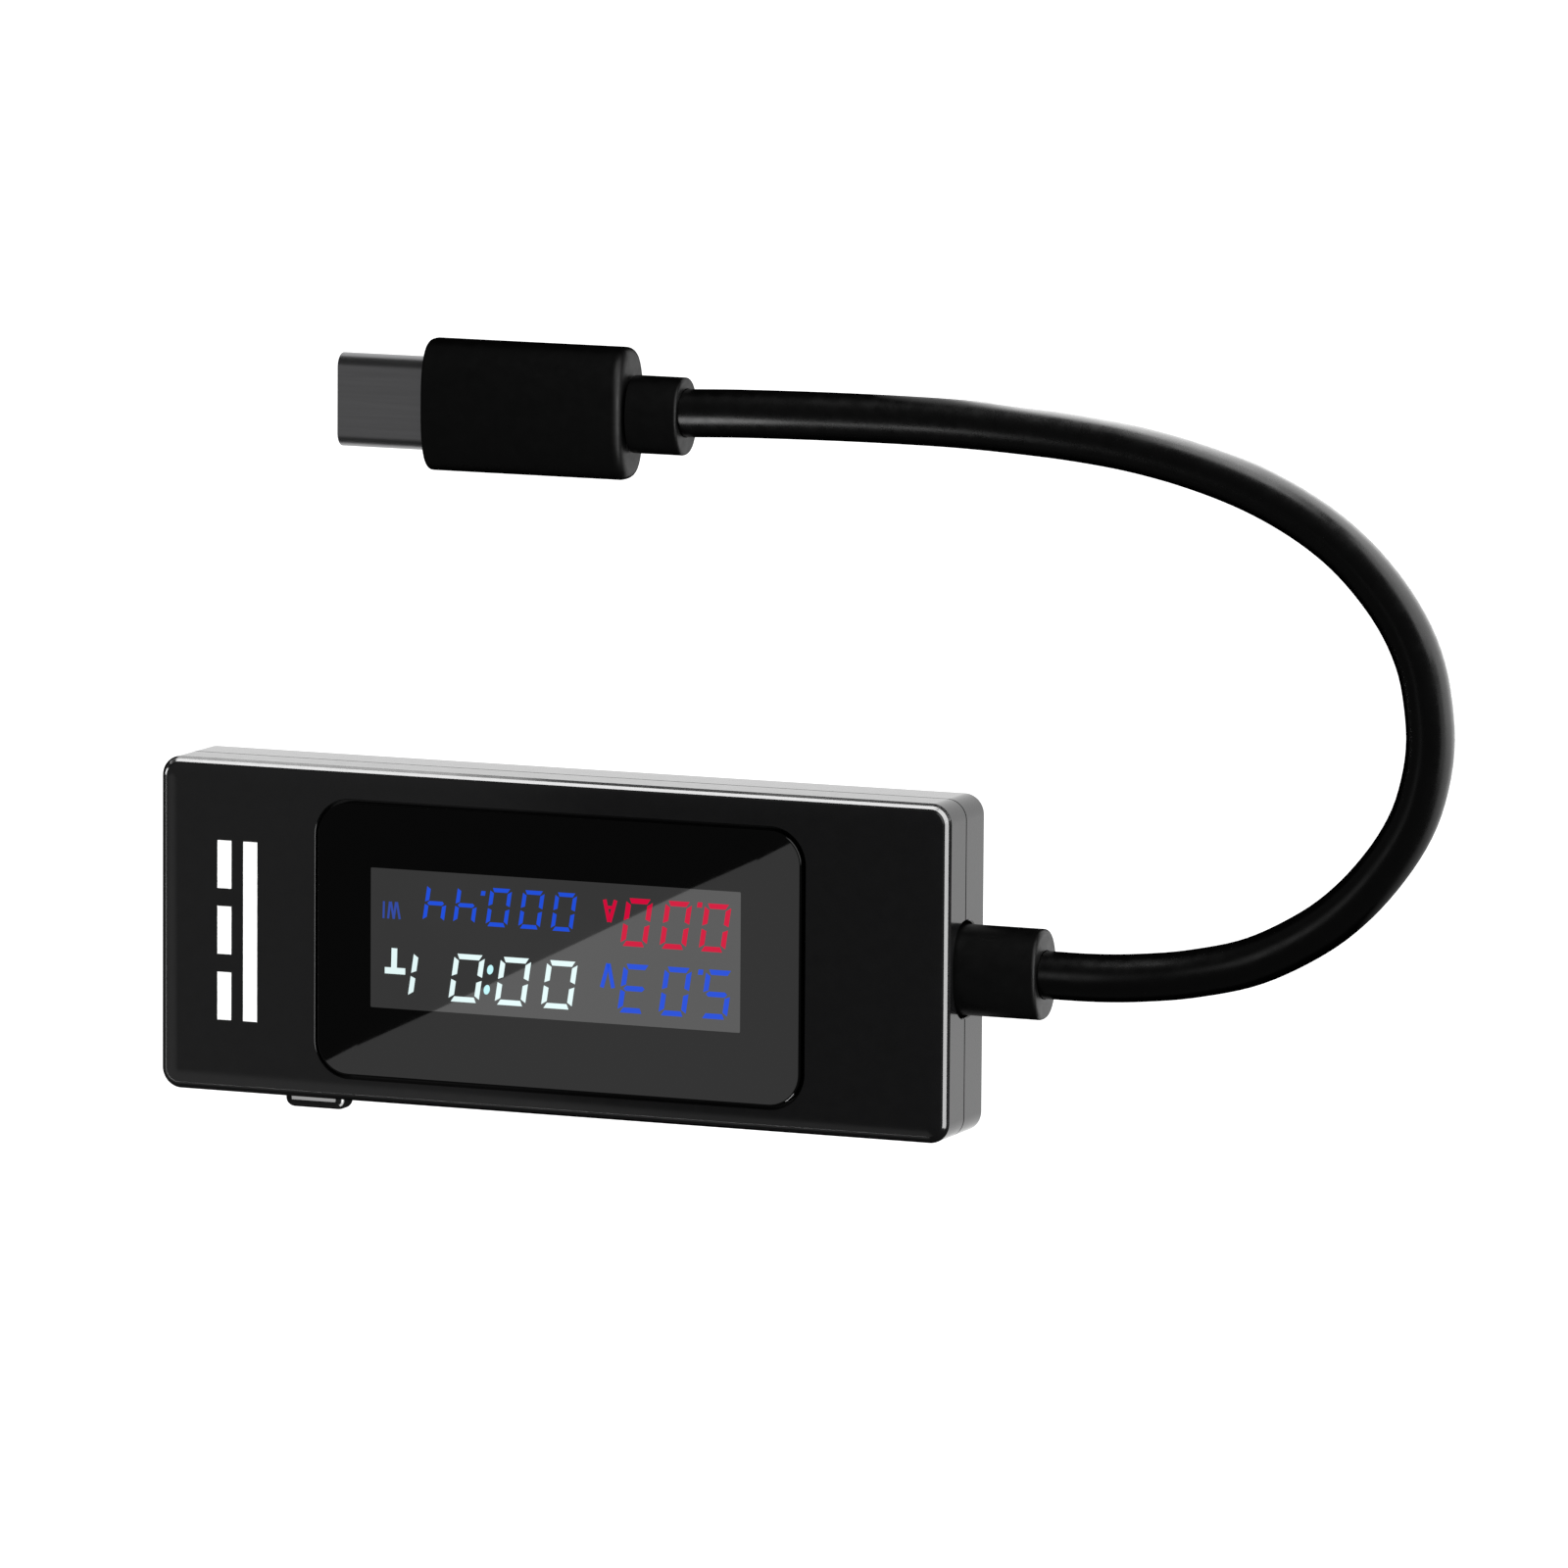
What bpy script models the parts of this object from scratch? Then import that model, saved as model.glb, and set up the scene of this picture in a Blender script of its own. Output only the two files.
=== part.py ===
"""Inline USB-C power meter: a flat case with a segment display, one side button,
a receptacle at one end and a captive lead with a plug at the other.

Frame: metres. +X points out of the receptacle end, +Y towards the button side and
+Z out of the display. The origin is the middle of the flat back face.
"""

import math

import bmesh
import bpy
from mathutils import Matrix, Vector

MM = 0.001
GAP = 0.3 * MM                      # clearance between neighbouring pieces
WELD = 0.01 * MM                    # corners nearer than this are one corner
OVERRUN = 1.0 * MM                  # how far a cutter passes the face it opens

# Case
CASE_LENGTH = 75.0 * MM
CASE_WIDTH = 29.6 * MM
CASE_HEIGHT = 8.6 * MM
CASE_CORNER_RADIUS = 1.8 * MM
CASE_RIM_RADIUS = 0.5 * MM
PARTING_HEIGHT = 4.5 * MM
WALL_THICKNESS = 1.4 * MM
PLATE_THICKNESS = 1.2 * MM          # floor of the back shell and face of the front shell
LIP_THICKNESS = 0.5 * MM            # rim of the back shell that stands inside the front shell
LIP_HEIGHT = 0.7 * MM

# Display window, let into the front face
WINDOW_CENTRE = (-0.9 * MM, 0.4 * MM)
WINDOW_LENGTH = 46.0 * MM
WINDOW_WIDTH = 24.2 * MM
WINDOW_THICKNESS = 0.6 * MM
WINDOW_PROUD = 0.2 * MM
WINDOW_CORNER_RADIUS = 3.0 * MM
WINDOW_RIM_RADIUS = 0.2 * MM

# Segment display behind the window
DISPLAY_CENTRE = (-0.6 * MM, 0.15 * MM)
VIEW_LENGTH = 38.0 * MM             # opening in the front shell
VIEW_WIDTH = 15.0 * MM
VIEW_CORNER_RADIUS = 0.6 * MM
GLASS_LENGTH = 39.0 * MM
GLASS_WIDTH = 16.6 * MM
GLASS_THICKNESS = 1.2 * MM
FRAME_WALL = 1.0 * MM
LIGHT_GUIDE_LENGTH = 37.3 * MM
LIGHT_GUIDE_WIDTH = 12.8 * MM
LED_LENGTH = 1.4 * MM
LED_WIDTH = 3.8 * MM
STRIP_LENGTH = 36.0 * MM            # elastomer contact strips under the glass edges
STRIP_WIDTH = 1.5 * MM
STRIP_OFFSET = 7.55 * MM

# Circuit board
BOARD_BOTTOM = 2.6 * MM
BOARD_THICKNESS = 1.0 * MM
BOARD_CABLE_END = -28.0 * MM
BOARD_PORT_END = 35.6 * MM
BOARD_WIDTH = 25.8 * MM
BOARD_CORNER_RADIUS = 0.8 * MM
BOARD_PORT_NOTCH_WIDTH = 9.6 * MM
BUTTON_NOTCH_LENGTH = 9.0 * MM      # cut-out in the board edge behind the button
BUTTON_NOTCH_EDGE = 11.6 * MM
PIN_PLACES = ((-25.5 * MM, 10.4 * MM), (-25.5 * MM, -10.4 * MM), (33.0 * MM, 10.4 * MM), (33.0 * MM, -10.4 * MM))
PIN_RADIUS = 0.5 * MM
PIN_TOP = 4.4 * MM
POST_RADIUS = 1.2 * MM

# Chips: length, width, height and the place of the middle along X and Y
CHIPS_BELOW_BOARD = {
    "meter_controller_ic": (7.0 * MM, 7.0 * MM, 0.8 * MM, -8.0 * MM, 0.0),
    "memory_ic": (4.4 * MM, 3.0 * MM, 0.8 * MM, 2.0 * MM, 5.0 * MM),
    "voltage_regulator": (2.9 * MM, 2.4 * MM, 0.8 * MM, 10.0 * MM, -5.0 * MM),
    "current_sense_amplifier": (3.0 * MM, 3.0 * MM, 0.8 * MM, -16.4 * MM, 0.0),
    "shunt_resistor": (3.2 * MM, 6.3 * MM, 0.8 * MM, -21.6 * MM, 0.0),
    "timing_crystal": (3.2 * MM, 1.5 * MM, 0.8 * MM, -8.0 * MM, 6.5 * MM),
}
CHIPS_ABOVE_BOARD = {
    "output_capacitor": (3.2 * MM, 1.6 * MM, 1.6 * MM, 24.0 * MM, -7.0 * MM),
    "bypass_capacitor": (1.6 * MM, 0.8 * MM, 0.8 * MM, 24.0 * MM, -3.6 * MM),
}
CHIP_CORNER_RADIUS = 0.1 * MM

# Receptacle in the output end
PORT_HEIGHT = 4.3 * MM              # height of its centre line
PORT_MOUTH_WIDTH = 8.34 * MM
PORT_MOUTH_HEIGHT = 2.56 * MM
PORT_SHELL_WALL = 0.3 * MM
PORT_SHELL_LENGTH = 7.3 * MM
TONGUE_WIDTH = 6.69 * MM
TONGUE_THICKNESS = 0.7 * MM
TONGUE_TIP_SETBACK = 0.6 * MM
TONGUE_BASE_LENGTH = 2.4 * MM

# Side button and the switch behind it
BUTTON_X = 23.8 * MM
BUTTON_HEIGHT_ABOVE_BACK = 4.5 * MM
BUTTON_LENGTH = 5.9 * MM
BUTTON_THICKNESS = 2.6 * MM
BUTTON_PROUD = 1.4 * MM
BUTTON_CORNER_RADIUS = 0.9 * MM
BUTTON_RIM_RADIUS = 0.3 * MM
BUTTON_FLANGE_LENGTH = 7.8 * MM
BUTTON_FLANGE_HEIGHT = 4.2 * MM
BUTTON_FLANGE_THICKNESS = 0.6 * MM
SWITCH_LENGTH = 6.0 * MM
SWITCH_DEPTH = 3.2 * MM
SWITCH_HEIGHT = 2.8 * MM
SWITCH_FRONT = 11.2 * MM
SWITCH_POCKET_DEPTH = 1.8 * MM
PLUNGER_LENGTH = 2.6 * MM
PLUNGER_THICKNESS = 1.0 * MM
PLUNGER_HEIGHT_ABOVE_BACK = 5.1 * MM
PLUNGER_INNER_END = 10.2 * MM

# Strain relief boot at the cable end
BOOT_WIDTH = 7.9 * MM
BOOT_THICKNESS = 5.4 * MM
BOOT_PROUD = 7.4 * MM
BOOT_HEIGHT = 4.3 * MM              # height of its centre line
BOOT_RIM_RADIUS = 0.4 * MM
BOOT_SQUARENESS = 2.4               # superellipse exponent, 2 is an ellipse
BOOT_FLANGE_WIDTH = 10.4 * MM
BOOT_FLANGE_THICKNESS = 5.6 * MM
BOOT_FLANGE_LENGTH = 1.3 * MM

# Plug on the free end of the cable
PLUG_Y = -46.6 * MM
PLUG_HEIGHT = 3.0 * MM              # height of its centre line
OVERMOLD_BACK = -5.3 * MM
OVERMOLD_FRONT = 13.7 * MM
OVERMOLD_WIDTH = 11.6 * MM
OVERMOLD_THICKNESS = 6.0 * MM
OVERMOLD_RIM_RADIUS = 0.6 * MM
OVERMOLD_SQUARENESS = 2.8
POCKET_DEPTH = 3.0 * MM
NECK_END = -10.4 * MM
NECK_WIDTH = 6.8 * MM
NECK_THICKNESS = 5.0 * MM
NECK_RIM_RADIUS = 0.5 * MM
NECK_SQUARENESS = 2.3
PLUG_SHELL_WIDTH = 8.25 * MM
PLUG_SHELL_THICKNESS = 2.4 * MM
PLUG_SHELL_WALL = 0.25 * MM
PLUG_SHELL_TIP = 22.4 * MM
INSERT_SETBACK = 0.5 * MM
INSERT_SLOT_WIDTH = 6.7 * MM
INSERT_SLOT_HEIGHT = 0.8 * MM
INSERT_SLOT_DEPTH = 5.6 * MM

# Captive cable, lying on the surface that the back face rests on
CABLE_RADIUS = 2.1 * MM
CABLE_STEP = 4.0 * CABLE_RADIUS     # distance between the points of its centre line
CABLE_ROUTE = (
    (-45.2 * MM, 0.0, 4.3 * MM),
    (-49.5 * MM, 0.0, 4.15 * MM),
    (-53.5 * MM, -0.2 * MM, 3.6 * MM),
    (-58.0 * MM, -0.75 * MM, 2.8 * MM),
    (-63.3 * MM, -2.1 * MM, 2.2 * MM),
    (-68.6 * MM, -4.85 * MM, 2.15 * MM),
    (-72.3 * MM, -7.8 * MM, 2.15 * MM),
    (-75.4 * MM, -11.4 * MM, 2.15 * MM),
    (-77.5 * MM, -14.9 * MM, 2.15 * MM),
    (-78.6 * MM, -18.3 * MM, 2.15 * MM),
    (-79.05 * MM, -21.7 * MM, 2.15 * MM),
    (-78.8 * MM, -25.1 * MM, 2.15 * MM),
    (-78.1 * MM, -28.4 * MM, 2.15 * MM),
    (-76.6 * MM, -31.7 * MM, 2.15 * MM),
    (-74.3 * MM, -34.9 * MM, 2.15 * MM),
    (-71.2 * MM, -38.0 * MM, 2.15 * MM),
    (-67.4 * MM, -40.6 * MM, 2.15 * MM),
    (-62.7 * MM, -42.85 * MM, 2.15 * MM),
    (-57.4 * MM, -44.55 * MM, 2.15 * MM),
    (-51.9 * MM, -45.75 * MM, 2.15 * MM),
    (-46.5 * MM, -46.45 * MM, 2.15 * MM),
    (-41.1 * MM, -46.85 * MM, 2.15 * MM),
    (-35.6 * MM, -47.1 * MM, 2.15 * MM),
    (-30.2 * MM, -47.18 * MM, 2.2 * MM),
    (-24.7 * MM, -47.2 * MM, 2.45 * MM),
    (-19.5 * MM, -47.17 * MM, 2.8 * MM),
    (-14.8 * MM, -47.08 * MM, 2.98 * MM),
    (-10.7 * MM, -46.92 * MM, 3.0 * MM),
)

# Wires from the cable to the board: radius and place across the cable
WIRES = {
    "wire_power": (0.5 * MM, -2.6 * MM),
    "wire_data_plus": (0.4 * MM, -1.3 * MM),
    "wire_configuration": (0.4 * MM, 0.0),
    "wire_data_minus": (0.4 * MM, 1.3 * MM),
    "wire_ground": (0.5 * MM, 2.6 * MM),
}
WIRE_END_X = -24.6 * MM
WIRE_SPREAD = 1.5                   # how much wider apart the wires are at the board
WIRE_POINTS = 7

# Roundness
CORNER_SEGMENTS = 6
RIM_SEGMENTS = 3
SECTION_POINTS = 32
PIN_SIDES = 16
CURVE_STEPS = 24                    # samples between two route points
SHARP_ANGLE = math.radians(35)
FLAT_ANGLE = math.radians(0.5)

# Levels worked out from the sizes above
HALF_LENGTH = CASE_LENGTH / 2
HALF_WIDTH = CASE_WIDTH / 2
FLOOR_LEVEL = PLATE_THICKNESS
CEILING_LEVEL = CASE_HEIGHT - PLATE_THICKNESS
BACK_SHELL_TOP = PARTING_HEIGHT - GAP / 2
FRONT_SHELL_BOTTOM = PARTING_HEIGHT + GAP / 2
BOARD_TOP = BOARD_BOTTOM + BOARD_THICKNESS
ABOVE_BOARD = BOARD_TOP + GAP
BELOW_BOARD = BOARD_BOTTOM - GAP
GLASS_TOP = CEILING_LEVEL - GAP
GLASS_BOTTOM = GLASS_TOP - GLASS_THICKNESS
WINDOW_TOP = CASE_HEIGHT + WINDOW_PROUD
WINDOW_BOTTOM = WINDOW_TOP - WINDOW_THICKNESS
PORT_SHELL_FRONT = HALF_LENGTH - GAP
PORT_SHELL_BACK = PORT_SHELL_FRONT - PORT_SHELL_LENGTH

# How each sweep axis turns an outline's own X, Y and Z into the row frame
SWEEP_TURNS = {
    "Z": Matrix.Identity(3).to_euler(),
    "X": Matrix(((0, 0, 1), (1, 0, 0), (0, 1, 0))).to_euler(),
    "Y": Matrix(((0, 1, 0), (0, 0, 1), (1, 0, 0))).to_euler(),
}


def clear_scene():
    for existing in list(bpy.data.objects):
        bpy.data.objects.remove(existing, do_unlink=True)


def new_collection(name):
    collection = bpy.data.collections.new(name)
    bpy.context.scene.collection.children.link(collection)
    return collection


def new_material(name, colour, roughness, metallic=0.0):
    material = bpy.data.materials.new(name)
    material.use_nodes = True
    shader = material.node_tree.nodes["Principled BSDF"]
    shader.inputs["Base Color"].default_value = (*colour, 1.0)
    shader.inputs["Roughness"].default_value = roughness
    shader.inputs["Metallic"].default_value = metallic
    material.diffuse_color = (*colour, 1.0)
    return material


# Outlines: counter-clockwise points around the origin

def without_repeats(points):
    kept = []
    for point in points:
        if not kept or (point - kept[-1]).length > WELD:
            kept.append(point)
    if (kept[0] - kept[-1]).length <= WELD:
        kept.pop()
    return kept


def rounded_rectangle(length, width, radius):
    points = []
    quarters = ((1, 1), (-1, 1), (-1, -1), (1, -1))
    for quarter, (side_x, side_y) in enumerate(quarters):
        centre = Vector((side_x * (length / 2 - radius), side_y * (width / 2 - radius)))
        for step in range(CORNER_SEGMENTS + 1):
            angle = math.radians(90) * (quarter + step / CORNER_SEGMENTS)
            points.append(centre + radius * Vector((math.cos(angle), math.sin(angle))))
    return without_repeats(points)


def oblong(length, width):
    """Slot outline, its ends round."""
    return rounded_rectangle(length, width, width / 2)


def superellipse(length, width, squareness):
    points = []
    for step in range(SECTION_POINTS):
        angle = math.tau * step / SECTION_POINTS
        reach_x = math.copysign(abs(math.cos(angle)) ** (2 / squareness), math.cos(angle))
        reach_y = math.copysign(abs(math.sin(angle)) ** (2 / squareness), math.sin(angle))
        points.append(Vector((reach_x * length / 2, reach_y * width / 2)))
    return points


# Solids

def filled_outline(name, outline, thickness):
    """Mesh of an outline with a thickness, drawn in millimetres so that fine corners fill cleanly."""
    curve = bpy.data.curves.new(name, "CURVE")
    curve.dimensions = "2D"
    curve.fill_mode = "BOTH"
    curve.extrude = thickness / 2 / MM
    spline = curve.splines.new("POLY")
    spline.points.add(len(outline) - 1)
    for point, place in zip(spline.points, outline):
        point.co = (place.x / MM, place.y / MM, 0.0, 1.0)
    spline.use_cyclic_u = True
    holder = bpy.data.objects.new(name, curve)
    bpy.context.scene.collection.objects.link(holder)
    evaluated = holder.evaluated_get(bpy.context.evaluated_depsgraph_get())
    mesh = bpy.data.meshes.new_from_object(evaluated)
    bpy.data.objects.remove(holder)
    mesh.transform(Matrix.Scale(MM, 4))
    return mesh


def swept_mesh(name, outline, thickness, rim_radius, rim_ends):
    """Outline swept along Z, with its rim rounded at the ends named by -1 and +1."""
    mesh = filled_outline(name, outline, thickness)
    solid = bmesh.new()
    solid.from_mesh(mesh)
    bmesh.ops.remove_doubles(solid, verts=solid.verts, dist=WELD)
    bmesh.ops.dissolve_limit(solid, angle_limit=FLAT_ANGLE, verts=solid.verts, edges=solid.edges)
    rim_levels = [end * thickness / 2 for end in rim_ends]
    rim = [edge for edge in solid.edges
           if any(all(abs(corner.co.z - level) < WELD for corner in edge.verts) for level in rim_levels)]
    if rim:
        bmesh.ops.bevel(solid, geom=rim, offset=rim_radius, segments=RIM_SEGMENTS, profile=0.5,
                        affect="EDGES", clamp_overlap=True)
    bmesh.ops.recalc_face_normals(solid, faces=solid.faces)
    solid.to_mesh(mesh)
    solid.free()
    mesh.shade_smooth()
    mesh.set_sharp_from_angle(angle=SHARP_ANGLE)
    return mesh


def swept(name, outline, axis, centre, low, high, rim_radius=0.0, rim_ends=()):
    """Object of an outline swept along an axis from low to high.

    centre is (x, y) for a sweep along Z, (y, z) along X and (z, x) along Y.
    """
    mesh = swept_mesh(name, outline, high - low, rim_radius, rim_ends)
    solid = bpy.data.objects.new(name, mesh)
    first, second = centre
    middle = (low + high) / 2
    places = {"Z": (first, second, middle), "X": (middle, first, second), "Y": (second, middle, first)}
    solid.location = places[axis]
    solid.rotation_euler = SWEEP_TURNS[axis]
    return solid


def upright_cylinder(name, radius, place, low, high):
    mesh = bpy.data.meshes.new(name)
    solid = bmesh.new()
    bmesh.ops.create_cone(solid, cap_ends=True, segments=PIN_SIDES, radius1=radius, radius2=radius,
                          depth=high - low)
    solid.to_mesh(mesh)
    solid.free()
    cylinder = bpy.data.objects.new(name, mesh)
    cylinder.location = (*place, (low + high) / 2)
    return cylinder


def smooth_path(route, spacing):
    """Points a set distance apart on the smooth curve through the route's points."""
    points = [Vector(place) for place in route]
    points = [2 * points[0] - points[1], *points, 2 * points[-1] - points[-2]]
    fine = []
    for before, start, end, after in zip(points, points[1:], points[2:], points[3:]):
        for step in range(CURVE_STEPS):
            t = step / CURVE_STEPS
            fine.append(0.5 * (2 * start + (end - before) * t
                               + (2 * before - 5 * start + 4 * end - after) * t ** 2
                               + (3 * start - before - 3 * end + after) * t ** 3))
    fine.append(points[-2])
    run = [0.0]
    for start, end in zip(fine, fine[1:]):
        run.append(run[-1] + (end - start).length)
    count = max(2, round(run[-1] / spacing))
    path = []
    index = 0
    for step in range(count):
        target = run[-1] * step / count
        while run[index + 1] < target:
            index += 1
        share = (target - run[index]) / (run[index + 1] - run[index])
        path.append(fine[index].lerp(fine[index + 1], share))
    path.append(fine[-1])
    return path


def tube(name, path, radius, resolution):
    curve = bpy.data.curves.new(name, "CURVE")
    curve.dimensions = "3D"
    curve.bevel_depth = radius
    curve.bevel_resolution = resolution
    curve.use_fill_caps = True
    spline = curve.splines.new("POLY")
    spline.points.add(len(path) - 1)
    for point, place in zip(spline.points, path):
        point.co = (*place, 1.0)
    return bpy.data.objects.new(name, curve)


class Bench:
    """The object's collection, its cutters and the calls that fill them."""

    def __init__(self):
        self.parts = new_collection("usb_power_meter")
        self.cutters = new_collection("cutters")

    def keep(self, piece, material, parent=None):
        self.parts.objects.link(piece)
        piece.data.materials.append(material)
        if parent:
            piece.parent = parent
            piece.location -= parent.location
        return piece

    def add_tool(self, piece, tool, operation):
        """Join a shape to a piece (UNION) or take it away from it (DIFFERENCE)."""
        if tool.name not in self.cutters.objects:
            self.cutters.objects.link(tool)
            tool.hide_render = True
            tool.display_type = "WIRE"
        step = piece.modifiers.new(tool.name, "BOOLEAN")
        step.operation = operation
        step.solver = "EXACT"
        step.object = tool
        return piece


# Openings that both halves of the case share

def port_hole():
    outer = oblong(PORT_MOUTH_WIDTH + 2 * (PORT_SHELL_WALL + GAP), PORT_MOUTH_HEIGHT + 2 * (PORT_SHELL_WALL + GAP))
    return swept("port_hole", outer, "X", (0.0, PORT_HEIGHT), HALF_LENGTH - WALL_THICKNESS - OVERRUN,
                 HALF_LENGTH + OVERRUN)


def boot_hole():
    outer = superellipse(BOOT_WIDTH + 2 * GAP, BOOT_THICKNESS + 2 * GAP, BOOT_SQUARENESS)
    return swept("boot_hole", outer, "X", (0.0, BOOT_HEIGHT), -HALF_LENGTH - OVERRUN,
                 -HALF_LENGTH + WALL_THICKNESS + OVERRUN)


def button_hole():
    outer = rounded_rectangle(BUTTON_THICKNESS + 2 * GAP, BUTTON_LENGTH + 2 * GAP, BUTTON_CORNER_RADIUS + GAP)
    return swept("button_hole", outer, "Y", (BUTTON_HEIGHT_ABOVE_BACK, BUTTON_X),
                 HALF_WIDTH - WALL_THICKNESS - OVERRUN, HALF_WIDTH + OVERRUN)


def case_outline(inset):
    return rounded_rectangle(CASE_LENGTH - 2 * inset, CASE_WIDTH - 2 * inset, CASE_CORNER_RADIUS - inset)


def cavity_outline():
    inner_radius = CASE_CORNER_RADIUS - WALL_THICKNESS
    return rounded_rectangle(CASE_LENGTH - 2 * WALL_THICKNESS, CASE_WIDTH - 2 * WALL_THICKNESS, inner_radius)


# Case

def add_back_shell(bench, material, holes):
    shell = swept("back_shell", case_outline(0.0), "Z", (0.0, 0.0), 0.0, BACK_SHELL_TOP,
                  CASE_RIM_RADIUS, (-1,))
    bench.keep(shell, material)
    lip_inset = WALL_THICKNESS - LIP_THICKNESS
    lip = swept("lip_block", case_outline(lip_inset), "Z", (0.0, 0.0), FLOOR_LEVEL, BACK_SHELL_TOP + LIP_HEIGHT)
    bench.add_tool(shell, lip, "UNION")
    cavity = swept("back_cavity", cavity_outline(), "Z", (0.0, 0.0), FLOOR_LEVEL,
                   BACK_SHELL_TOP + LIP_HEIGHT + OVERRUN)
    bench.add_tool(shell, cavity, "DIFFERENCE")
    for number, place in enumerate(PIN_PLACES, start=1):
        post = upright_cylinder(f"board_post_{number}", POST_RADIUS, place, FLOOR_LEVEL - GAP, BELOW_BOARD)
        pin = upright_cylinder(f"locating_pin_{number}", PIN_RADIUS, place, FLOOR_LEVEL - GAP, PIN_TOP)
        bench.add_tool(shell, post, "UNION")
        bench.add_tool(shell, pin, "UNION")
    for hole in holes:
        bench.add_tool(shell, hole, "DIFFERENCE")


def add_front_shell(bench, material, holes):
    shell = swept("front_shell", case_outline(0.0), "Z", (0.0, 0.0), FRONT_SHELL_BOTTOM, CASE_HEIGHT,
                  CASE_RIM_RADIUS, (1,))
    bench.keep(shell, material)
    cavity = swept("front_cavity", cavity_outline(), "Z", (0.0, 0.0), FRONT_SHELL_BOTTOM - OVERRUN, CEILING_LEVEL)
    bench.add_tool(shell, cavity, "DIFFERENCE")
    rebate_inset = WALL_THICKNESS - LIP_THICKNESS - GAP
    rebate = swept("lip_rebate", case_outline(rebate_inset), "Z", (0.0, 0.0), FRONT_SHELL_BOTTOM - OVERRUN,
                   BACK_SHELL_TOP + LIP_HEIGHT + GAP)
    bench.add_tool(shell, rebate, "DIFFERENCE")
    recess_outline = rounded_rectangle(WINDOW_LENGTH + 2 * GAP, WINDOW_WIDTH + 2 * GAP, WINDOW_CORNER_RADIUS + GAP)
    recess = swept("window_recess", recess_outline, "Z", WINDOW_CENTRE, WINDOW_BOTTOM - GAP, CASE_HEIGHT + OVERRUN)
    bench.add_tool(shell, recess, "DIFFERENCE")
    view_outline = rounded_rectangle(VIEW_LENGTH, VIEW_WIDTH, VIEW_CORNER_RADIUS)
    view = swept("view_opening", view_outline, "Z", DISPLAY_CENTRE, CEILING_LEVEL - OVERRUN, CASE_HEIGHT + OVERRUN)
    bench.add_tool(shell, view, "DIFFERENCE")
    for hole in holes:
        bench.add_tool(shell, hole, "DIFFERENCE")


def add_window(bench, material):
    outline = rounded_rectangle(WINDOW_LENGTH, WINDOW_WIDTH, WINDOW_CORNER_RADIUS)
    window = swept("display_window", outline, "Z", WINDOW_CENTRE, WINDOW_BOTTOM, WINDOW_TOP,
                   WINDOW_RIM_RADIUS, (1,))
    bench.keep(window, material)


# Display

def add_display_glass(bench, material):
    outline = rounded_rectangle(GLASS_LENGTH, GLASS_WIDTH, CHIP_CORNER_RADIUS)
    bench.keep(swept("lcd_glass", outline, "Z", DISPLAY_CENTRE, GLASS_BOTTOM, GLASS_TOP), material)


def add_display_frame(bench, material):
    inner_length = GLASS_LENGTH + 2 * GAP
    inner_width = GLASS_WIDTH + 2 * GAP
    outer = rounded_rectangle(inner_length + 2 * FRAME_WALL, inner_width + 2 * FRAME_WALL, FRAME_WALL)
    frame = swept("lcd_frame", outer, "Z", DISPLAY_CENTRE, ABOVE_BOARD, GLASS_TOP)
    bench.keep(frame, material)
    inner = rounded_rectangle(inner_length, inner_width, CHIP_CORNER_RADIUS)
    hollow = swept("frame_hollow", inner, "Z", DISPLAY_CENTRE, ABOVE_BOARD - OVERRUN, GLASS_TOP + OVERRUN)
    bench.add_tool(frame, hollow, "DIFFERENCE")


def add_backlight(bench, guide_material, led_material):
    guide_top = GLASS_BOTTOM - GAP
    guide_low_x = DISPLAY_CENTRE[0] - GLASS_LENGTH / 2
    guide_centre = (guide_low_x + LIGHT_GUIDE_LENGTH / 2, DISPLAY_CENTRE[1])
    guide_outline = rounded_rectangle(LIGHT_GUIDE_LENGTH, LIGHT_GUIDE_WIDTH, CHIP_CORNER_RADIUS)
    guide = swept("lcd_backlight", guide_outline, "Z", guide_centre, ABOVE_BOARD, guide_top)
    bench.keep(guide, guide_material)
    led_x = guide_low_x + LIGHT_GUIDE_LENGTH + GAP + LED_LENGTH / 2
    led_outline = rounded_rectangle(LED_LENGTH, LED_WIDTH, CHIP_CORNER_RADIUS)
    led = swept("backlight_led", led_outline, "Z", (led_x, DISPLAY_CENTRE[1]), ABOVE_BOARD, guide_top)
    bench.keep(led, led_material)


def add_contact_strips(bench, material):
    outline = rounded_rectangle(STRIP_LENGTH, STRIP_WIDTH, CHIP_CORNER_RADIUS)
    for name, side in (("zebra_strip_upper", 1), ("zebra_strip_lower", -1)):
        centre = (DISPLAY_CENTRE[0], DISPLAY_CENTRE[1] + side * STRIP_OFFSET)
        bench.keep(swept(name, outline, "Z", centre, ABOVE_BOARD, GLASS_BOTTOM - GAP), material)


# Board and what is soldered to it

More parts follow.
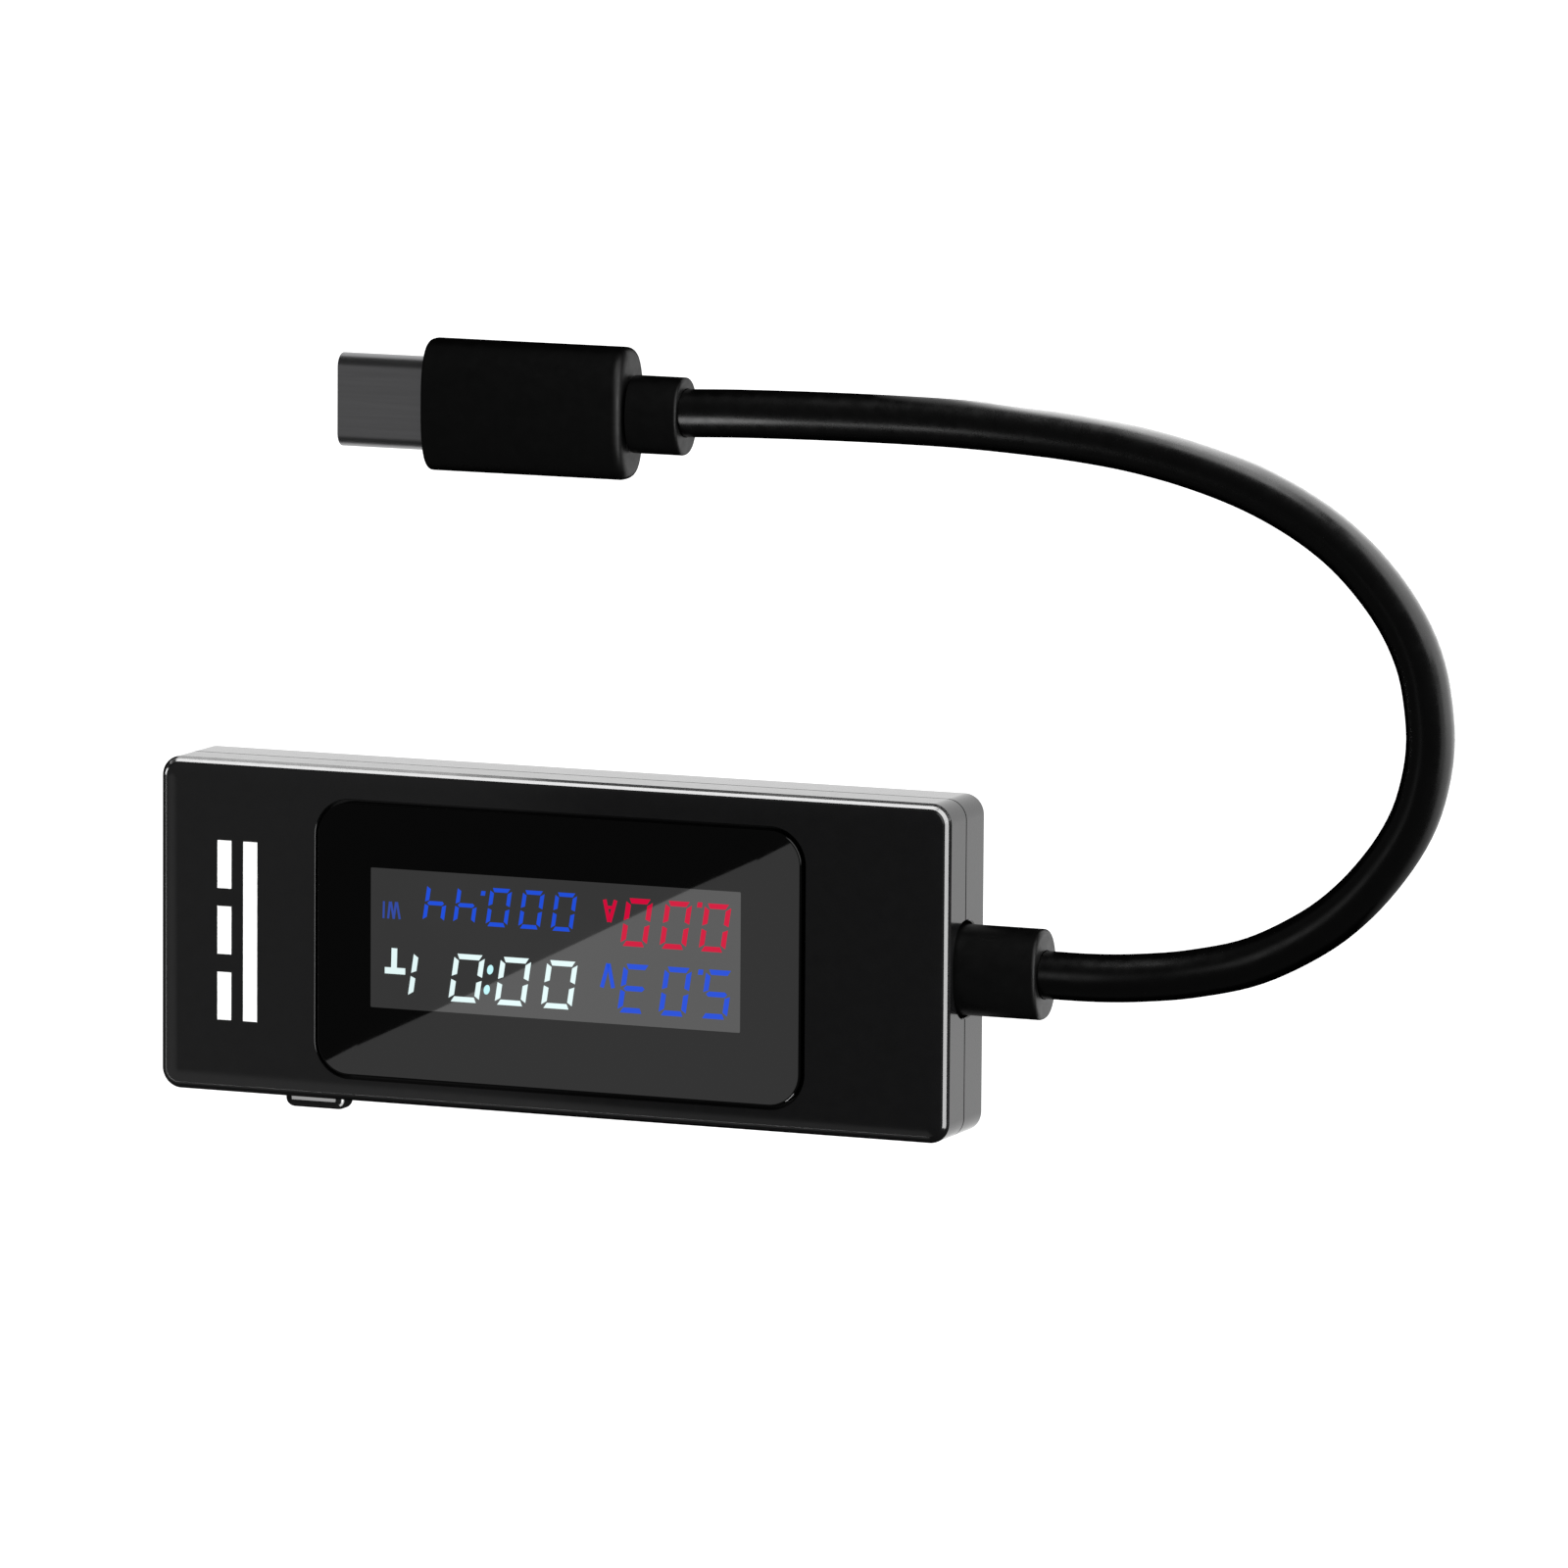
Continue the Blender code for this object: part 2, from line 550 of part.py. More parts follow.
def add_board(bench, material):
    length = BOARD_PORT_END - BOARD_CABLE_END
    outline = rounded_rectangle(length, BOARD_WIDTH, BOARD_CORNER_RADIUS)
    centre = ((BOARD_PORT_END + BOARD_CABLE_END) / 2, 0.0)
    board = swept("main_pcb", outline, "Z", centre, BOARD_BOTTOM, BOARD_TOP)
    bench.keep(board, material)
    notch_low_x = PORT_SHELL_BACK - GAP
    notch_high_x = BOARD_PORT_END + OVERRUN
    port_notch_outline = rounded_rectangle(notch_high_x - notch_low_x, BOARD_PORT_NOTCH_WIDTH, CHIP_CORNER_RADIUS)
    port_notch = swept("board_port_notch", port_notch_outline, "Z", ((notch_low_x + notch_high_x) / 2, 0.0),
                       BOARD_BOTTOM - OVERRUN, BOARD_TOP + OVERRUN)
    bench.add_tool(board, port_notch, "DIFFERENCE")
    notch_depth = BOARD_WIDTH / 2 + OVERRUN - BUTTON_NOTCH_EDGE
    button_notch_outline = rounded_rectangle(BUTTON_NOTCH_LENGTH, notch_depth, CHIP_CORNER_RADIUS)
    button_notch = swept("board_button_notch", button_notch_outline, "Z",
                         (BUTTON_X, BUTTON_NOTCH_EDGE + notch_depth / 2), BOARD_BOTTOM - OVERRUN,
                         BOARD_TOP + OVERRUN)
    bench.add_tool(board, button_notch, "DIFFERENCE")
    for number, place in enumerate(PIN_PLACES, start=1):
        hole = upright_cylinder(f"board_pin_hole_{number}", PIN_RADIUS + GAP, place, BOARD_BOTTOM - OVERRUN,
                                BOARD_TOP + OVERRUN)
        bench.add_tool(board, hole, "DIFFERENCE")


def add_chips(bench, materials):
    for name, (length, width, height, x, y) in CHIPS_BELOW_BOARD.items():
        outline = rounded_rectangle(length, width, CHIP_CORNER_RADIUS)
        bench.keep(swept(name, outline, "Z", (x, y), BELOW_BOARD - height, BELOW_BOARD), materials[name])
    for name, (length, width, height, x, y) in CHIPS_ABOVE_BOARD.items():
        outline = rounded_rectangle(length, width, CHIP_CORNER_RADIUS)
        bench.keep(swept(name, outline, "Z", (x, y), ABOVE_BOARD, ABOVE_BOARD + height), materials[name])


def add_receptacle(bench, shell_material, tongue_material):
    outer = oblong(PORT_MOUTH_WIDTH + 2 * PORT_SHELL_WALL, PORT_MOUTH_HEIGHT + 2 * PORT_SHELL_WALL)
    shell = swept("receptacle_shell", outer, "X", (0.0, PORT_HEIGHT), PORT_SHELL_BACK, PORT_SHELL_FRONT)
    bench.keep(shell, shell_material)
    inside = PORT_SHELL_BACK + PORT_SHELL_WALL
    mouth = swept("receptacle_mouth", oblong(PORT_MOUTH_WIDTH, PORT_MOUTH_HEIGHT), "X", (0.0, PORT_HEIGHT),
                  inside, PORT_SHELL_FRONT + OVERRUN)
    bench.add_tool(shell, mouth, "DIFFERENCE")
    base_start = inside + GAP
    base_outline = oblong(PORT_MOUTH_WIDTH - 2 * GAP, PORT_MOUTH_HEIGHT - 2 * GAP)
    base = swept("receptacle_tongue", base_outline, "X", (0.0, PORT_HEIGHT), base_start,
                 base_start + TONGUE_BASE_LENGTH)
    bench.keep(base, tongue_material)
    tongue = swept("tongue_blade", rounded_rectangle(TONGUE_WIDTH, TONGUE_THICKNESS, CHIP_CORNER_RADIUS), "X",
                   (0.0, PORT_HEIGHT), base_start + GAP, PORT_SHELL_FRONT - TONGUE_TIP_SETBACK)
    bench.add_tool(base, tongue, "UNION")


# Button

def add_button(bench, cap_material, plunger_material):
    """The cap and the switch plunger slide together along Y, so both hang on one empty."""
    axis = bpy.data.objects.new("button_axis", None)
    axis.location = (BUTTON_X, HALF_WIDTH, BUTTON_HEIGHT_ABOVE_BACK)
    bench.parts.objects.link(axis)
    flange_outer = HALF_WIDTH - WALL_THICKNESS - GAP
    flange_inner = flange_outer - BUTTON_FLANGE_THICKNESS
    centre = (BUTTON_HEIGHT_ABOVE_BACK, BUTTON_X)
    cap_outline = rounded_rectangle(BUTTON_THICKNESS, BUTTON_LENGTH, BUTTON_CORNER_RADIUS)
    cap = swept("button_cap", cap_outline, "Y", centre, flange_inner, HALF_WIDTH + BUTTON_PROUD,
                BUTTON_RIM_RADIUS, (1,))
    bench.keep(cap, cap_material, axis)
    flange_outline = rounded_rectangle(BUTTON_FLANGE_HEIGHT, BUTTON_FLANGE_LENGTH, BUTTON_CORNER_RADIUS)
    flange = swept("button_flange", flange_outline, "Y", centre, flange_inner, flange_outer)
    bench.add_tool(cap, flange, "UNION")
    plunger_outline = rounded_rectangle(PLUNGER_THICKNESS, PLUNGER_LENGTH, CHIP_CORNER_RADIUS)
    plunger = swept("switch_plunger", plunger_outline, "Y", (PLUNGER_HEIGHT_ABOVE_BACK, BUTTON_X),
                    PLUNGER_INNER_END, flange_inner - GAP)
    bench.keep(plunger, plunger_material, axis)


def add_switch_body(bench, material):
    outline = rounded_rectangle(SWITCH_LENGTH, SWITCH_DEPTH, CHIP_CORNER_RADIUS)
    body = swept("switch_body", outline, "Z", (BUTTON_X, SWITCH_FRONT - SWITCH_DEPTH / 2), ABOVE_BOARD,
                 ABOVE_BOARD + SWITCH_HEIGHT)
    bench.keep(body, material)
    pocket_outline = rounded_rectangle(PLUNGER_THICKNESS + 2 * GAP, PLUNGER_LENGTH + 2 * GAP, CHIP_CORNER_RADIUS)
    pocket = swept("plunger_pocket", pocket_outline, "Y", (PLUNGER_HEIGHT_ABOVE_BACK, BUTTON_X),
                   SWITCH_FRONT - SWITCH_POCKET_DEPTH, SWITCH_FRONT + OVERRUN)
    bench.add_tool(body, pocket, "DIFFERENCE")


# Lead

def add_boot(bench, material):
    outer_end = -HALF_LENGTH - BOOT_PROUD
    inner_end = -HALF_LENGTH + WALL_THICKNESS + GAP + BOOT_FLANGE_LENGTH
    section = superellipse(BOOT_WIDTH, BOOT_THICKNESS, BOOT_SQUARENESS)
    boot = swept("cable_boot", section, "X", (0.0, BOOT_HEIGHT), outer_end, inner_end, BOOT_RIM_RADIUS, (-1,))
    bench.keep(boot, material)
    flange_section = superellipse(BOOT_FLANGE_WIDTH, BOOT_FLANGE_THICKNESS, BOOT_SQUARENESS)
    flange = swept("boot_flange", flange_section, "X", (0.0, BOOT_HEIGHT), inner_end - BOOT_FLANGE_LENGTH, inner_end)
    bench.add_tool(boot, flange, "UNION")


def add_cable(bench, material):
    bench.keep(tube("cable", smooth_path(CABLE_ROUTE, CABLE_STEP), CABLE_RADIUS, 4), material)


def add_wires(bench, materials):
    start_x = -HALF_LENGTH + WALL_THICKNESS + BOOT_FLANGE_LENGTH + 2 * GAP
    for name, (radius, across) in WIRES.items():
        end_height = ABOVE_BOARD + radius
        path = []
        for step in range(WIRE_POINTS):
            share = step / (WIRE_POINTS - 1)
            ease = share * share * (3 - 2 * share)
            path.append(Vector((start_x + share * (WIRE_END_X - start_x),
                                across * (1 + ease * (WIRE_SPREAD - 1)),
                                BOOT_HEIGHT + ease * (end_height - BOOT_HEIGHT))))
        bench.keep(tube(name, path, radius, 2), materials[name])


def add_plug(bench, rubber, metal, plastic):
    centre = (PLUG_Y, PLUG_HEIGHT)
    overmold_section = superellipse(OVERMOLD_WIDTH, OVERMOLD_THICKNESS, OVERMOLD_SQUARENESS)
    overmold = swept("plug_overmold", overmold_section, "X", centre, OVERMOLD_BACK, OVERMOLD_FRONT,
                     OVERMOLD_RIM_RADIUS, (-1, 1))
    bench.keep(overmold, rubber)
    pocket_floor = OVERMOLD_FRONT - POCKET_DEPTH
    pocket = swept("shell_pocket", oblong(PLUG_SHELL_WIDTH + 2 * GAP, PLUG_SHELL_THICKNESS + 2 * GAP), "X", centre,
                   pocket_floor, OVERMOLD_FRONT + OVERRUN)
    bench.add_tool(overmold, pocket, "DIFFERENCE")
    neck_section = superellipse(NECK_WIDTH, NECK_THICKNESS, NECK_SQUARENESS)
    neck = swept("plug_neck", neck_section, "X", centre, NECK_END, OVERMOLD_BACK - GAP, NECK_RIM_RADIUS, (-1,))
    bench.keep(neck, rubber)
    shell_back = pocket_floor + GAP
    shell = swept("plug_shell", oblong(PLUG_SHELL_WIDTH, PLUG_SHELL_THICKNESS), "X", centre, shell_back,
                  PLUG_SHELL_TIP)
    bench.keep(shell, metal)
    bore_width = PLUG_SHELL_WIDTH - 2 * PLUG_SHELL_WALL
    bore_height = PLUG_SHELL_THICKNESS - 2 * PLUG_SHELL_WALL
    bore = swept("plug_shell_bore", oblong(bore_width, bore_height), "X", centre, shell_back + PLUG_SHELL_WALL,
                 PLUG_SHELL_TIP + OVERRUN)
    bench.add_tool(shell, bore, "DIFFERENCE")
    insert_tip = PLUG_SHELL_TIP - INSERT_SETBACK
    insert = swept("plug_insert", oblong(bore_width - 2 * GAP, bore_height - 2 * GAP), "X", centre,
                   shell_back + PLUG_SHELL_WALL + GAP, insert_tip)
    bench.keep(insert, plastic)
    slot = swept("insert_slot", rounded_rectangle(INSERT_SLOT_WIDTH, INSERT_SLOT_HEIGHT, CHIP_CORNER_RADIUS), "X",
                 centre, insert_tip - INSERT_SLOT_DEPTH, insert_tip + OVERRUN)
    bench.add_tool(insert, slot, "DIFFERENCE")


def chip_materials():
    return {
        "meter_controller_ic": new_material("controller_resin", (0.02, 0.02, 0.022), 0.5),
        "memory_ic": new_material("memory_resin", (0.03, 0.03, 0.03), 0.5),
        "voltage_regulator": new_material("regulator_resin", (0.025, 0.025, 0.03), 0.55),
        "current_sense_amplifier": new_material("amplifier_resin", (0.02, 0.02, 0.02), 0.45),
        "shunt_resistor": new_material("shunt_alloy", (0.45, 0.42, 0.38), 0.4, 1.0),
        "timing_crystal": new_material("crystal_can", (0.7, 0.68, 0.62), 0.3, 1.0),
        "output_capacitor": new_material("output_capacitor_ceramic", (0.42, 0.3, 0.18), 0.4),
        "bypass_capacitor": new_material("bypass_capacitor_ceramic", (0.5, 0.38, 0.24), 0.4),
    }


def wire_materials():
    return {
        "wire_power": new_material("red_insulation", (0.6, 0.02, 0.02), 0.45),
        "wire_data_plus": new_material("green_insulation", (0.03, 0.35, 0.08), 0.45),
        "wire_configuration": new_material("blue_insulation", (0.03, 0.1, 0.5), 0.45),
        "wire_data_minus": new_material("white_insulation", (0.8, 0.8, 0.78), 0.45),
        "wire_ground": new_material("black_insulation", (0.02, 0.02, 0.02), 0.45),
    }


def build():
    clear_scene()
    bench = Bench()
    holes = (port_hole(), boot_hole(), button_hole())
    add_back_shell(bench, new_material("back_shell_plastic", (0.012, 0.012, 0.013), 0.35), holes)
    add_front_shell(bench, new_material("front_shell_plastic", (0.012, 0.012, 0.013), 0.3), holes)
    add_window(bench, new_material("window_acrylic", (0.006, 0.006, 0.008), 0.05))
    add_display_glass(bench, new_material("display_glass", (0.04, 0.04, 0.045), 0.08))
    add_display_frame(bench, new_material("frame_plastic", (0.75, 0.75, 0.73), 0.5))
    add_backlight(bench, new_material("light_guide_acrylic", (0.85, 0.87, 0.9), 0.2),
                  new_material("led_resin", (0.9, 0.85, 0.4), 0.3))
    add_contact_strips(bench, new_material("strip_silicone", (0.35, 0.3, 0.32), 0.6))
    add_board(bench, new_material("board_laminate", (0.01, 0.12, 0.05), 0.4))
    add_chips(bench, chip_materials())
    add_receptacle(bench, new_material("receptacle_steel", (0.6, 0.6, 0.6), 0.3, 1.0),
                   new_material("tongue_polymer", (0.02, 0.02, 0.02), 0.5))
    add_button(bench, new_material("button_plastic", (0.012, 0.012, 0.013), 0.35),
               new_material("plunger_plastic", (0.8, 0.8, 0.78), 0.4))
    add_switch_body(bench, new_material("switch_resin", (0.05, 0.05, 0.05), 0.5))
    add_boot(bench, new_material("boot_rubber", (0.012, 0.012, 0.012), 0.55))
    add_cable(bench, new_material("cable_jacket", (0.01, 0.01, 0.01), 0.4))
    add_wires(bench, wire_materials())
    add_plug(bench, new_material("plug_rubber", (0.012, 0.012, 0.012), 0.55),
             new_material("plug_steel", (0.3, 0.3, 0.3), 0.3, 1.0),
             new_material("insert_polymer", (0.03, 0.03, 0.03), 0.5))


build()
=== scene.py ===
"""Looks of the in-line USB-C power meter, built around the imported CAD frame.

Frame: metres. +X points out of the receptacle end, +Y towards the button side and +Z out of
the display. The meter lies on its back on the floor.
"""

import math

import bmesh
import bpy
from mathutils import Matrix, Vector


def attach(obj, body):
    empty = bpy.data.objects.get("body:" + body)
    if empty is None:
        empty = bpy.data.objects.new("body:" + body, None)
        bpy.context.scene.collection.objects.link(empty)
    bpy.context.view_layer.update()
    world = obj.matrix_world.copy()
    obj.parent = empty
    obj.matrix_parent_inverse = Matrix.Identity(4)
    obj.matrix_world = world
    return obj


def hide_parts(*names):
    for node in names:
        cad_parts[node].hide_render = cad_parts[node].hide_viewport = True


MM = 0.001
ORIGIN = (0.0, 0.0, 0.0)
QUARTER_TURN = math.radians(90)

# Camera
CAMERA_TARGET = (-0.01855, -0.01452, 0.0)
CAMERA_DISTANCE = 1.15562
CAMERA_ELEVATION = math.radians(66.18)
CAMERA_DIRECTION = math.radians(199.61)  # from +X, counter-clockwise seen from above
CAMERA_ROLL = math.radians(0.40)
CAMERA_LENS = 304.54
CAMERA_SENSOR = 36.0
CAMERA_CLIP = (0.01, 20.0)

# Case
CASE_LENGTH = 75.0 * MM
CASE_WIDTH = 29.6 * MM
CASE_HEIGHT = 8.6 * MM
CASE_CORNER_RADIUS = 1.8 * MM
BACK_RIM = 0.5 * MM
CROWN_CORNER_RADIUS = 0.25 * MM
FLAT_FACETS = 5  # how many facets of the front's edge are below its crown
EDGE_SKIN = 0.008 * MM
# Front edge, from the wall inwards: each facet's tilt in degrees and its width in millimetres
FRONT_EDGE = (
    (70.0, 0.02), (52.0, 0.29), (47.0, 0.02), (43.0, 0.33), (28.0, 0.2), (13.0, 0.12),
    (11.0, 0.15), (9.0, 0.18), (7.0, 0.2), (5.0, 0.22), (3.0, 0.22), (1.2, 0.16),
)
WALL = 1.4 * MM
PLATE = 1.2 * MM
SEAM_LOW = 4.42 * MM
SEAM_HIGH = 4.58 * MM
SEAM_CHAMFER = 0.01 * MM
LIP = 0.5 * MM
LIP_TOP = 5.05 * MM
REBATE_TOP = 5.35 * MM
GAP = 0.3 * MM
HALF_LENGTH = CASE_LENGTH / 2
HALF_WIDTH = CASE_WIDTH / 2
CEILING = CASE_HEIGHT - PLATE

# Window and display
WINDOW_CENTRE = (-0.9 * MM, 0.4 * MM)
WINDOW_LENGTH = 46.0 * MM
WINDOW_WIDTH = 24.2 * MM
WINDOW_CORNER_RADIUS = 3.0 * MM
WINDOW_TOP = 8.8 * MM
WINDOW_BOTTOM = 8.2 * MM
WINDOW_RIM = 0.2 * MM
RECESS_FLOOR = 7.9 * MM
RECESS_CHAMFER = 0.025 * MM  # depth of the chamfer round the recess
RECESS_FLARE = 0.04 * MM  # and its width
RECESS_SKIN = 0.002 * MM
OPENING_CENTRE = (-0.6 * MM, 0.15 * MM)
OPENING_LENGTH = 38.0 * MM
OPENING_WIDTH = 15.0 * MM
OPENING_CORNER_RADIUS = 0.6 * MM
PANE_LOW = (-18.24 * MM, -6.14 * MM)
PANE_HIGH = (16.96 * MM, 6.24 * MM)
PANE_CORNER_RADIUS = 0.12 * MM
PANE_TOP = 8.77 * MM
SEGMENT_TOP = 8.79 * MM
SEGMENT_SINK = 0.03 * MM

# Lettering of the display. Segments of a digit: a top, b and c right, d bottom, e and f left, g middle
DIGIT_SEGMENTS = {"0": "abcdef", "1": "bc", "3": "abcdg", "4": "bcfg", "5": "acdfg"}
SLANT = 0.15  # sideways lean for each unit of height
SEGMENT_CUT = 0.55  # share of a bar's width that its outer corners are cut back
SEGMENT_TUCK = 0.3  # share that its ends stay clear of the next bar
SEGMENT_POINT = 0.62  # share that the middle bar's points stay inside
TOP_TUCK = 0.3  # shares of the cut and the tuck that each kind of bar takes
MIDDLE_TUCK = 0.4
SIDE_TUCK = 0.7
SIDE_CUT = 1.2
OVAL_WIDTH = 0.58 * MM
OVAL_HEIGHT = 0.86 * MM
OVAL_STEPS = 16
# In millimetres: digits with their x, and their row's y, width, height and bar; dots as x, y and size;
# strokes as start, end and width; ovals as x and y
LETTERING = (
    {"name": "segments_voltage", "material": "segment_blue",
     "digits": (("5", -16.0), ("0", -12.10), ("3", -8.21)), "row": (2.99, 2.55, 4.32, 0.46),
     "dots": ((-14.49, 1.12, 0.46),),
     "strokes": (((-6.22, 3.06), (-5.79, 0.93), 0.36), ((-5.15, 3.06), (-5.74, 0.93), 0.36))},
    {"name": "segments_current", "material": "segment_crimson",
     "digits": (("0", -15.82), ("0", -12.12), ("0", -8.42)), "row": (-2.84, 2.48, 4.24, 0.46),
     "dots": ((-14.37, -4.77, 0.46),),
     "strokes": (((-6.42, -4.68), (-5.86, -2.74), 0.34), ((-5.38, -4.68), (-5.80, -2.74), 0.34),
                 ((-6.10, -4.02), (-5.62, -4.02), 0.26))},
    {"name": "segments_time", "material": "segment_white",
     "digits": (("0", -1.12), ("0", 3.30), ("0", 7.73), ("1", 11.62)), "row": (3.1, 2.9, 4.26, 0.47),
     "strokes": (((13.62, 2.88), (15.58, 2.88), 0.56), ((14.70, 2.62), (14.66, 0.88), 0.54))},
    {"name": "segments_colon", "material": "segment_cyan", "ovals": ((5.80, 3.98), (5.48, 2.19))},
    {"name": "segments_energy", "material": "segment_blue",
     "digits": (("0", -1.52), ("0", 1.57), ("0", 4.68), ("4", 7.80), ("4", 10.72)),
     "row": (-3.34, 2.04, 3.4, 0.36),
     "dots": ((6.18, -4.51, 0.4),)},
    {"name": "segments_energy_unit", "material": "segment_dim_blue",
     "strokes": (((14.16, -1.72), (14.44, -3.22), 0.2), ((14.74, -1.72), (14.52, -3.22), 0.2),
                 ((14.74, -1.72), (15.02, -3.22), 0.2), ((15.28, -1.72), (15.10, -3.22), 0.2),
                 ((15.72, -1.72), (15.68, -3.22), 0.18))},
)

# Mark on the front face: the direct current symbol
MARK_LOW_X = 28.0 * MM
MARK_HIGH_X = 31.85 * MM
MARK_LOW_Y = -7.64 * MM
MARK_HIGH_Y = 8.34 * MM
MARK_BAR = 1.35 * MM
MARK_DASH_GAP = 1.6 * MM
MARK_DASHES = 3
MARK_TOP = CASE_HEIGHT + 0.012 * MM
MARK_SINK = 0.03 * MM

# Button
BUTTON_X = 23.8 * MM
BUTTON_Z = 4.5 * MM
BUTTON_LENGTH = 5.9 * MM
BUTTON_THICKNESS = 2.6 * MM
BUTTON_CORNER_RADIUS = 0.9 * MM
BUTTON_RIM = 0.8 * MM
BUTTON_TIP = HALF_WIDTH + 1.4 * MM
BUTTON_PLACE = (BUTTON_X, HALF_WIDTH, BUTTON_Z)
BUTTON_FLANGE_INNER = 12.5 * MM
BUTTON_FLANGE_OUTER = 13.1 * MM
BUTTON_FLANGE_LENGTH = 7.8 * MM
BUTTON_FLANGE_HEIGHT = 4.2 * MM

# Receptacle
PORT_Z = 4.3 * MM
PORT_MOUTH_WIDTH = 8.34 * MM
PORT_MOUTH_HEIGHT = 2.56 * MM
PORT_SHELL_WALL = 0.3 * MM
PORT_FRONT = HALF_LENGTH - GAP
PORT_BACK = PORT_FRONT - 7.3 * MM
PORT_LIP = 0.1 * MM
TONGUE_WIDTH = 6.69 * MM
TONGUE_THICKNESS = 0.7 * MM
TONGUE_BASE = 2.4 * MM
TONGUE_TIP = PORT_FRONT - 0.6 * MM
TONGUE_CORNER = 0.15 * MM
TONGUE_TAPER = 0.15 * MM
TONGUE_TIP_CORNER = 0.1 * MM
CONTACT_COUNT = 12
CONTACT_PITCH = 0.5 * MM
CONTACT_WIDTH = 0.25 * MM
CONTACT_PROUD = 0.02 * MM
CONTACT_BACK_GAP = 0.1 * MM
CONTACT_TIP_GAP = 0.6 * MM

# Boot at the cable end
BOOT_Z = 4.3 * MM
BOOT_WIDTH = 7.9 * MM
BOOT_THICKNESS = 5.4 * MM
BOOT_SQUARENESS = 2.4
BOOT_TIP = -44.9 * MM
BOOT_RIM = 0.4 * MM
BOOT_FLANGE_WIDTH = 10.4 * MM
BOOT_FLANGE_THICKNESS = 5.6 * MM
BOOT_FLANGE_OUTER = -35.8 * MM
BOOT_FLANGE_INNER = -34.5 * MM

# Plug
PLUG_Y = -46.6 * MM
PLUG_Z = 3.0 * MM
PLUG_CENTRE = (PLUG_Y, PLUG_Z)
BODY_BACK = -5.3 * MM
BODY_FRONT = 13.7 * MM
BODY_WIDTH = 11.6 * MM
BODY_THICKNESS = 6.0 * MM
BODY_BACK_RIM = 0.9 * MM
BODY_FRONT_RIM = 0.35 * MM
BODY_SQUARENESS = 2.8
POCKET_FLOOR = 10.7 * MM
NECK_END = -10.4 * MM
NECK_FRONT = -5.6 * MM
NECK_WIDTH = 6.8 * MM
NECK_THICKNESS = 5.0 * MM
NECK_RIM = 0.3 * MM
NECK_SQUARENESS = 2.3
PLUG_SHELL_WIDTH = 8.25 * MM
PLUG_SHELL_THICKNESS = 2.4 * MM
PLUG_SHELL_WALL = 0.25 * MM
PLUG_SHELL_BACK = 11.0 * MM
PLUG_SHELL_TIP = 22.4 * MM
PLUG_SHELL_LIP = 0.1 * MM
INSERT_BACK = 11.55 * MM
INSERT_TIP = 21.9 * MM
INSERT_SLOT_WIDTH = 6.7 * MM
INSERT_SLOT_HEIGHT = 0.8 * MM
INSERT_SLOT_DEPTH = 5.6 * MM
INSERT_SLOT_CORNER = 0.1 * MM
INSERT_MOUTH_FLARE = 0.1 * MM
INSERT_MOUTH_CORNER = 0.12 * MM

# Cable
CABLE_RADIUS = 2.1 * MM
CABLE_POCKET = 1.5 * MM  # how deep it sits in the boot and in the neck
CABLE_POCKET_PLAY = 0.05 * MM
CABLE_POINT_SPACING = 1.0 * MM
# Middle of the cable from the boot to the neck, in millimetres
CABLE_ROUTE = (
    (-45.2, 0.0, 4.3), (-49.5, 0.0, 4.15), (-53.5, -0.2, 3.6), (-58.0, -0.75, 2.8),
    (-63.3, -2.1, 2.2), (-68.6, -4.85, 2.15), (-72.3, -7.8, 2.15), (-75.4, -11.4, 2.15),
    (-77.5, -14.9, 2.15), (-78.6, -18.3, 2.15), (-79.05, -21.7, 2.15), (-78.8, -25.1, 2.15),
    (-78.1, -28.4, 2.15), (-76.6, -31.7, 2.15), (-74.3, -34.9, 2.15), (-71.2, -38.0, 2.15),
    (-67.4, -40.6, 2.15), (-62.7, -42.85, 2.15), (-57.4, -44.55, 2.15), (-51.9, -45.75, 2.15),
    (-46.5, -46.45, 2.15), (-41.1, -46.85, 2.15), (-35.6, -47.1, 2.15), (-30.2, -47.18, 2.2),
    (-24.7, -47.2, 2.45), (-19.5, -47.17, 2.8), (-14.8, -47.08, 2.98), (-10.7, -46.92, 3.0),
)

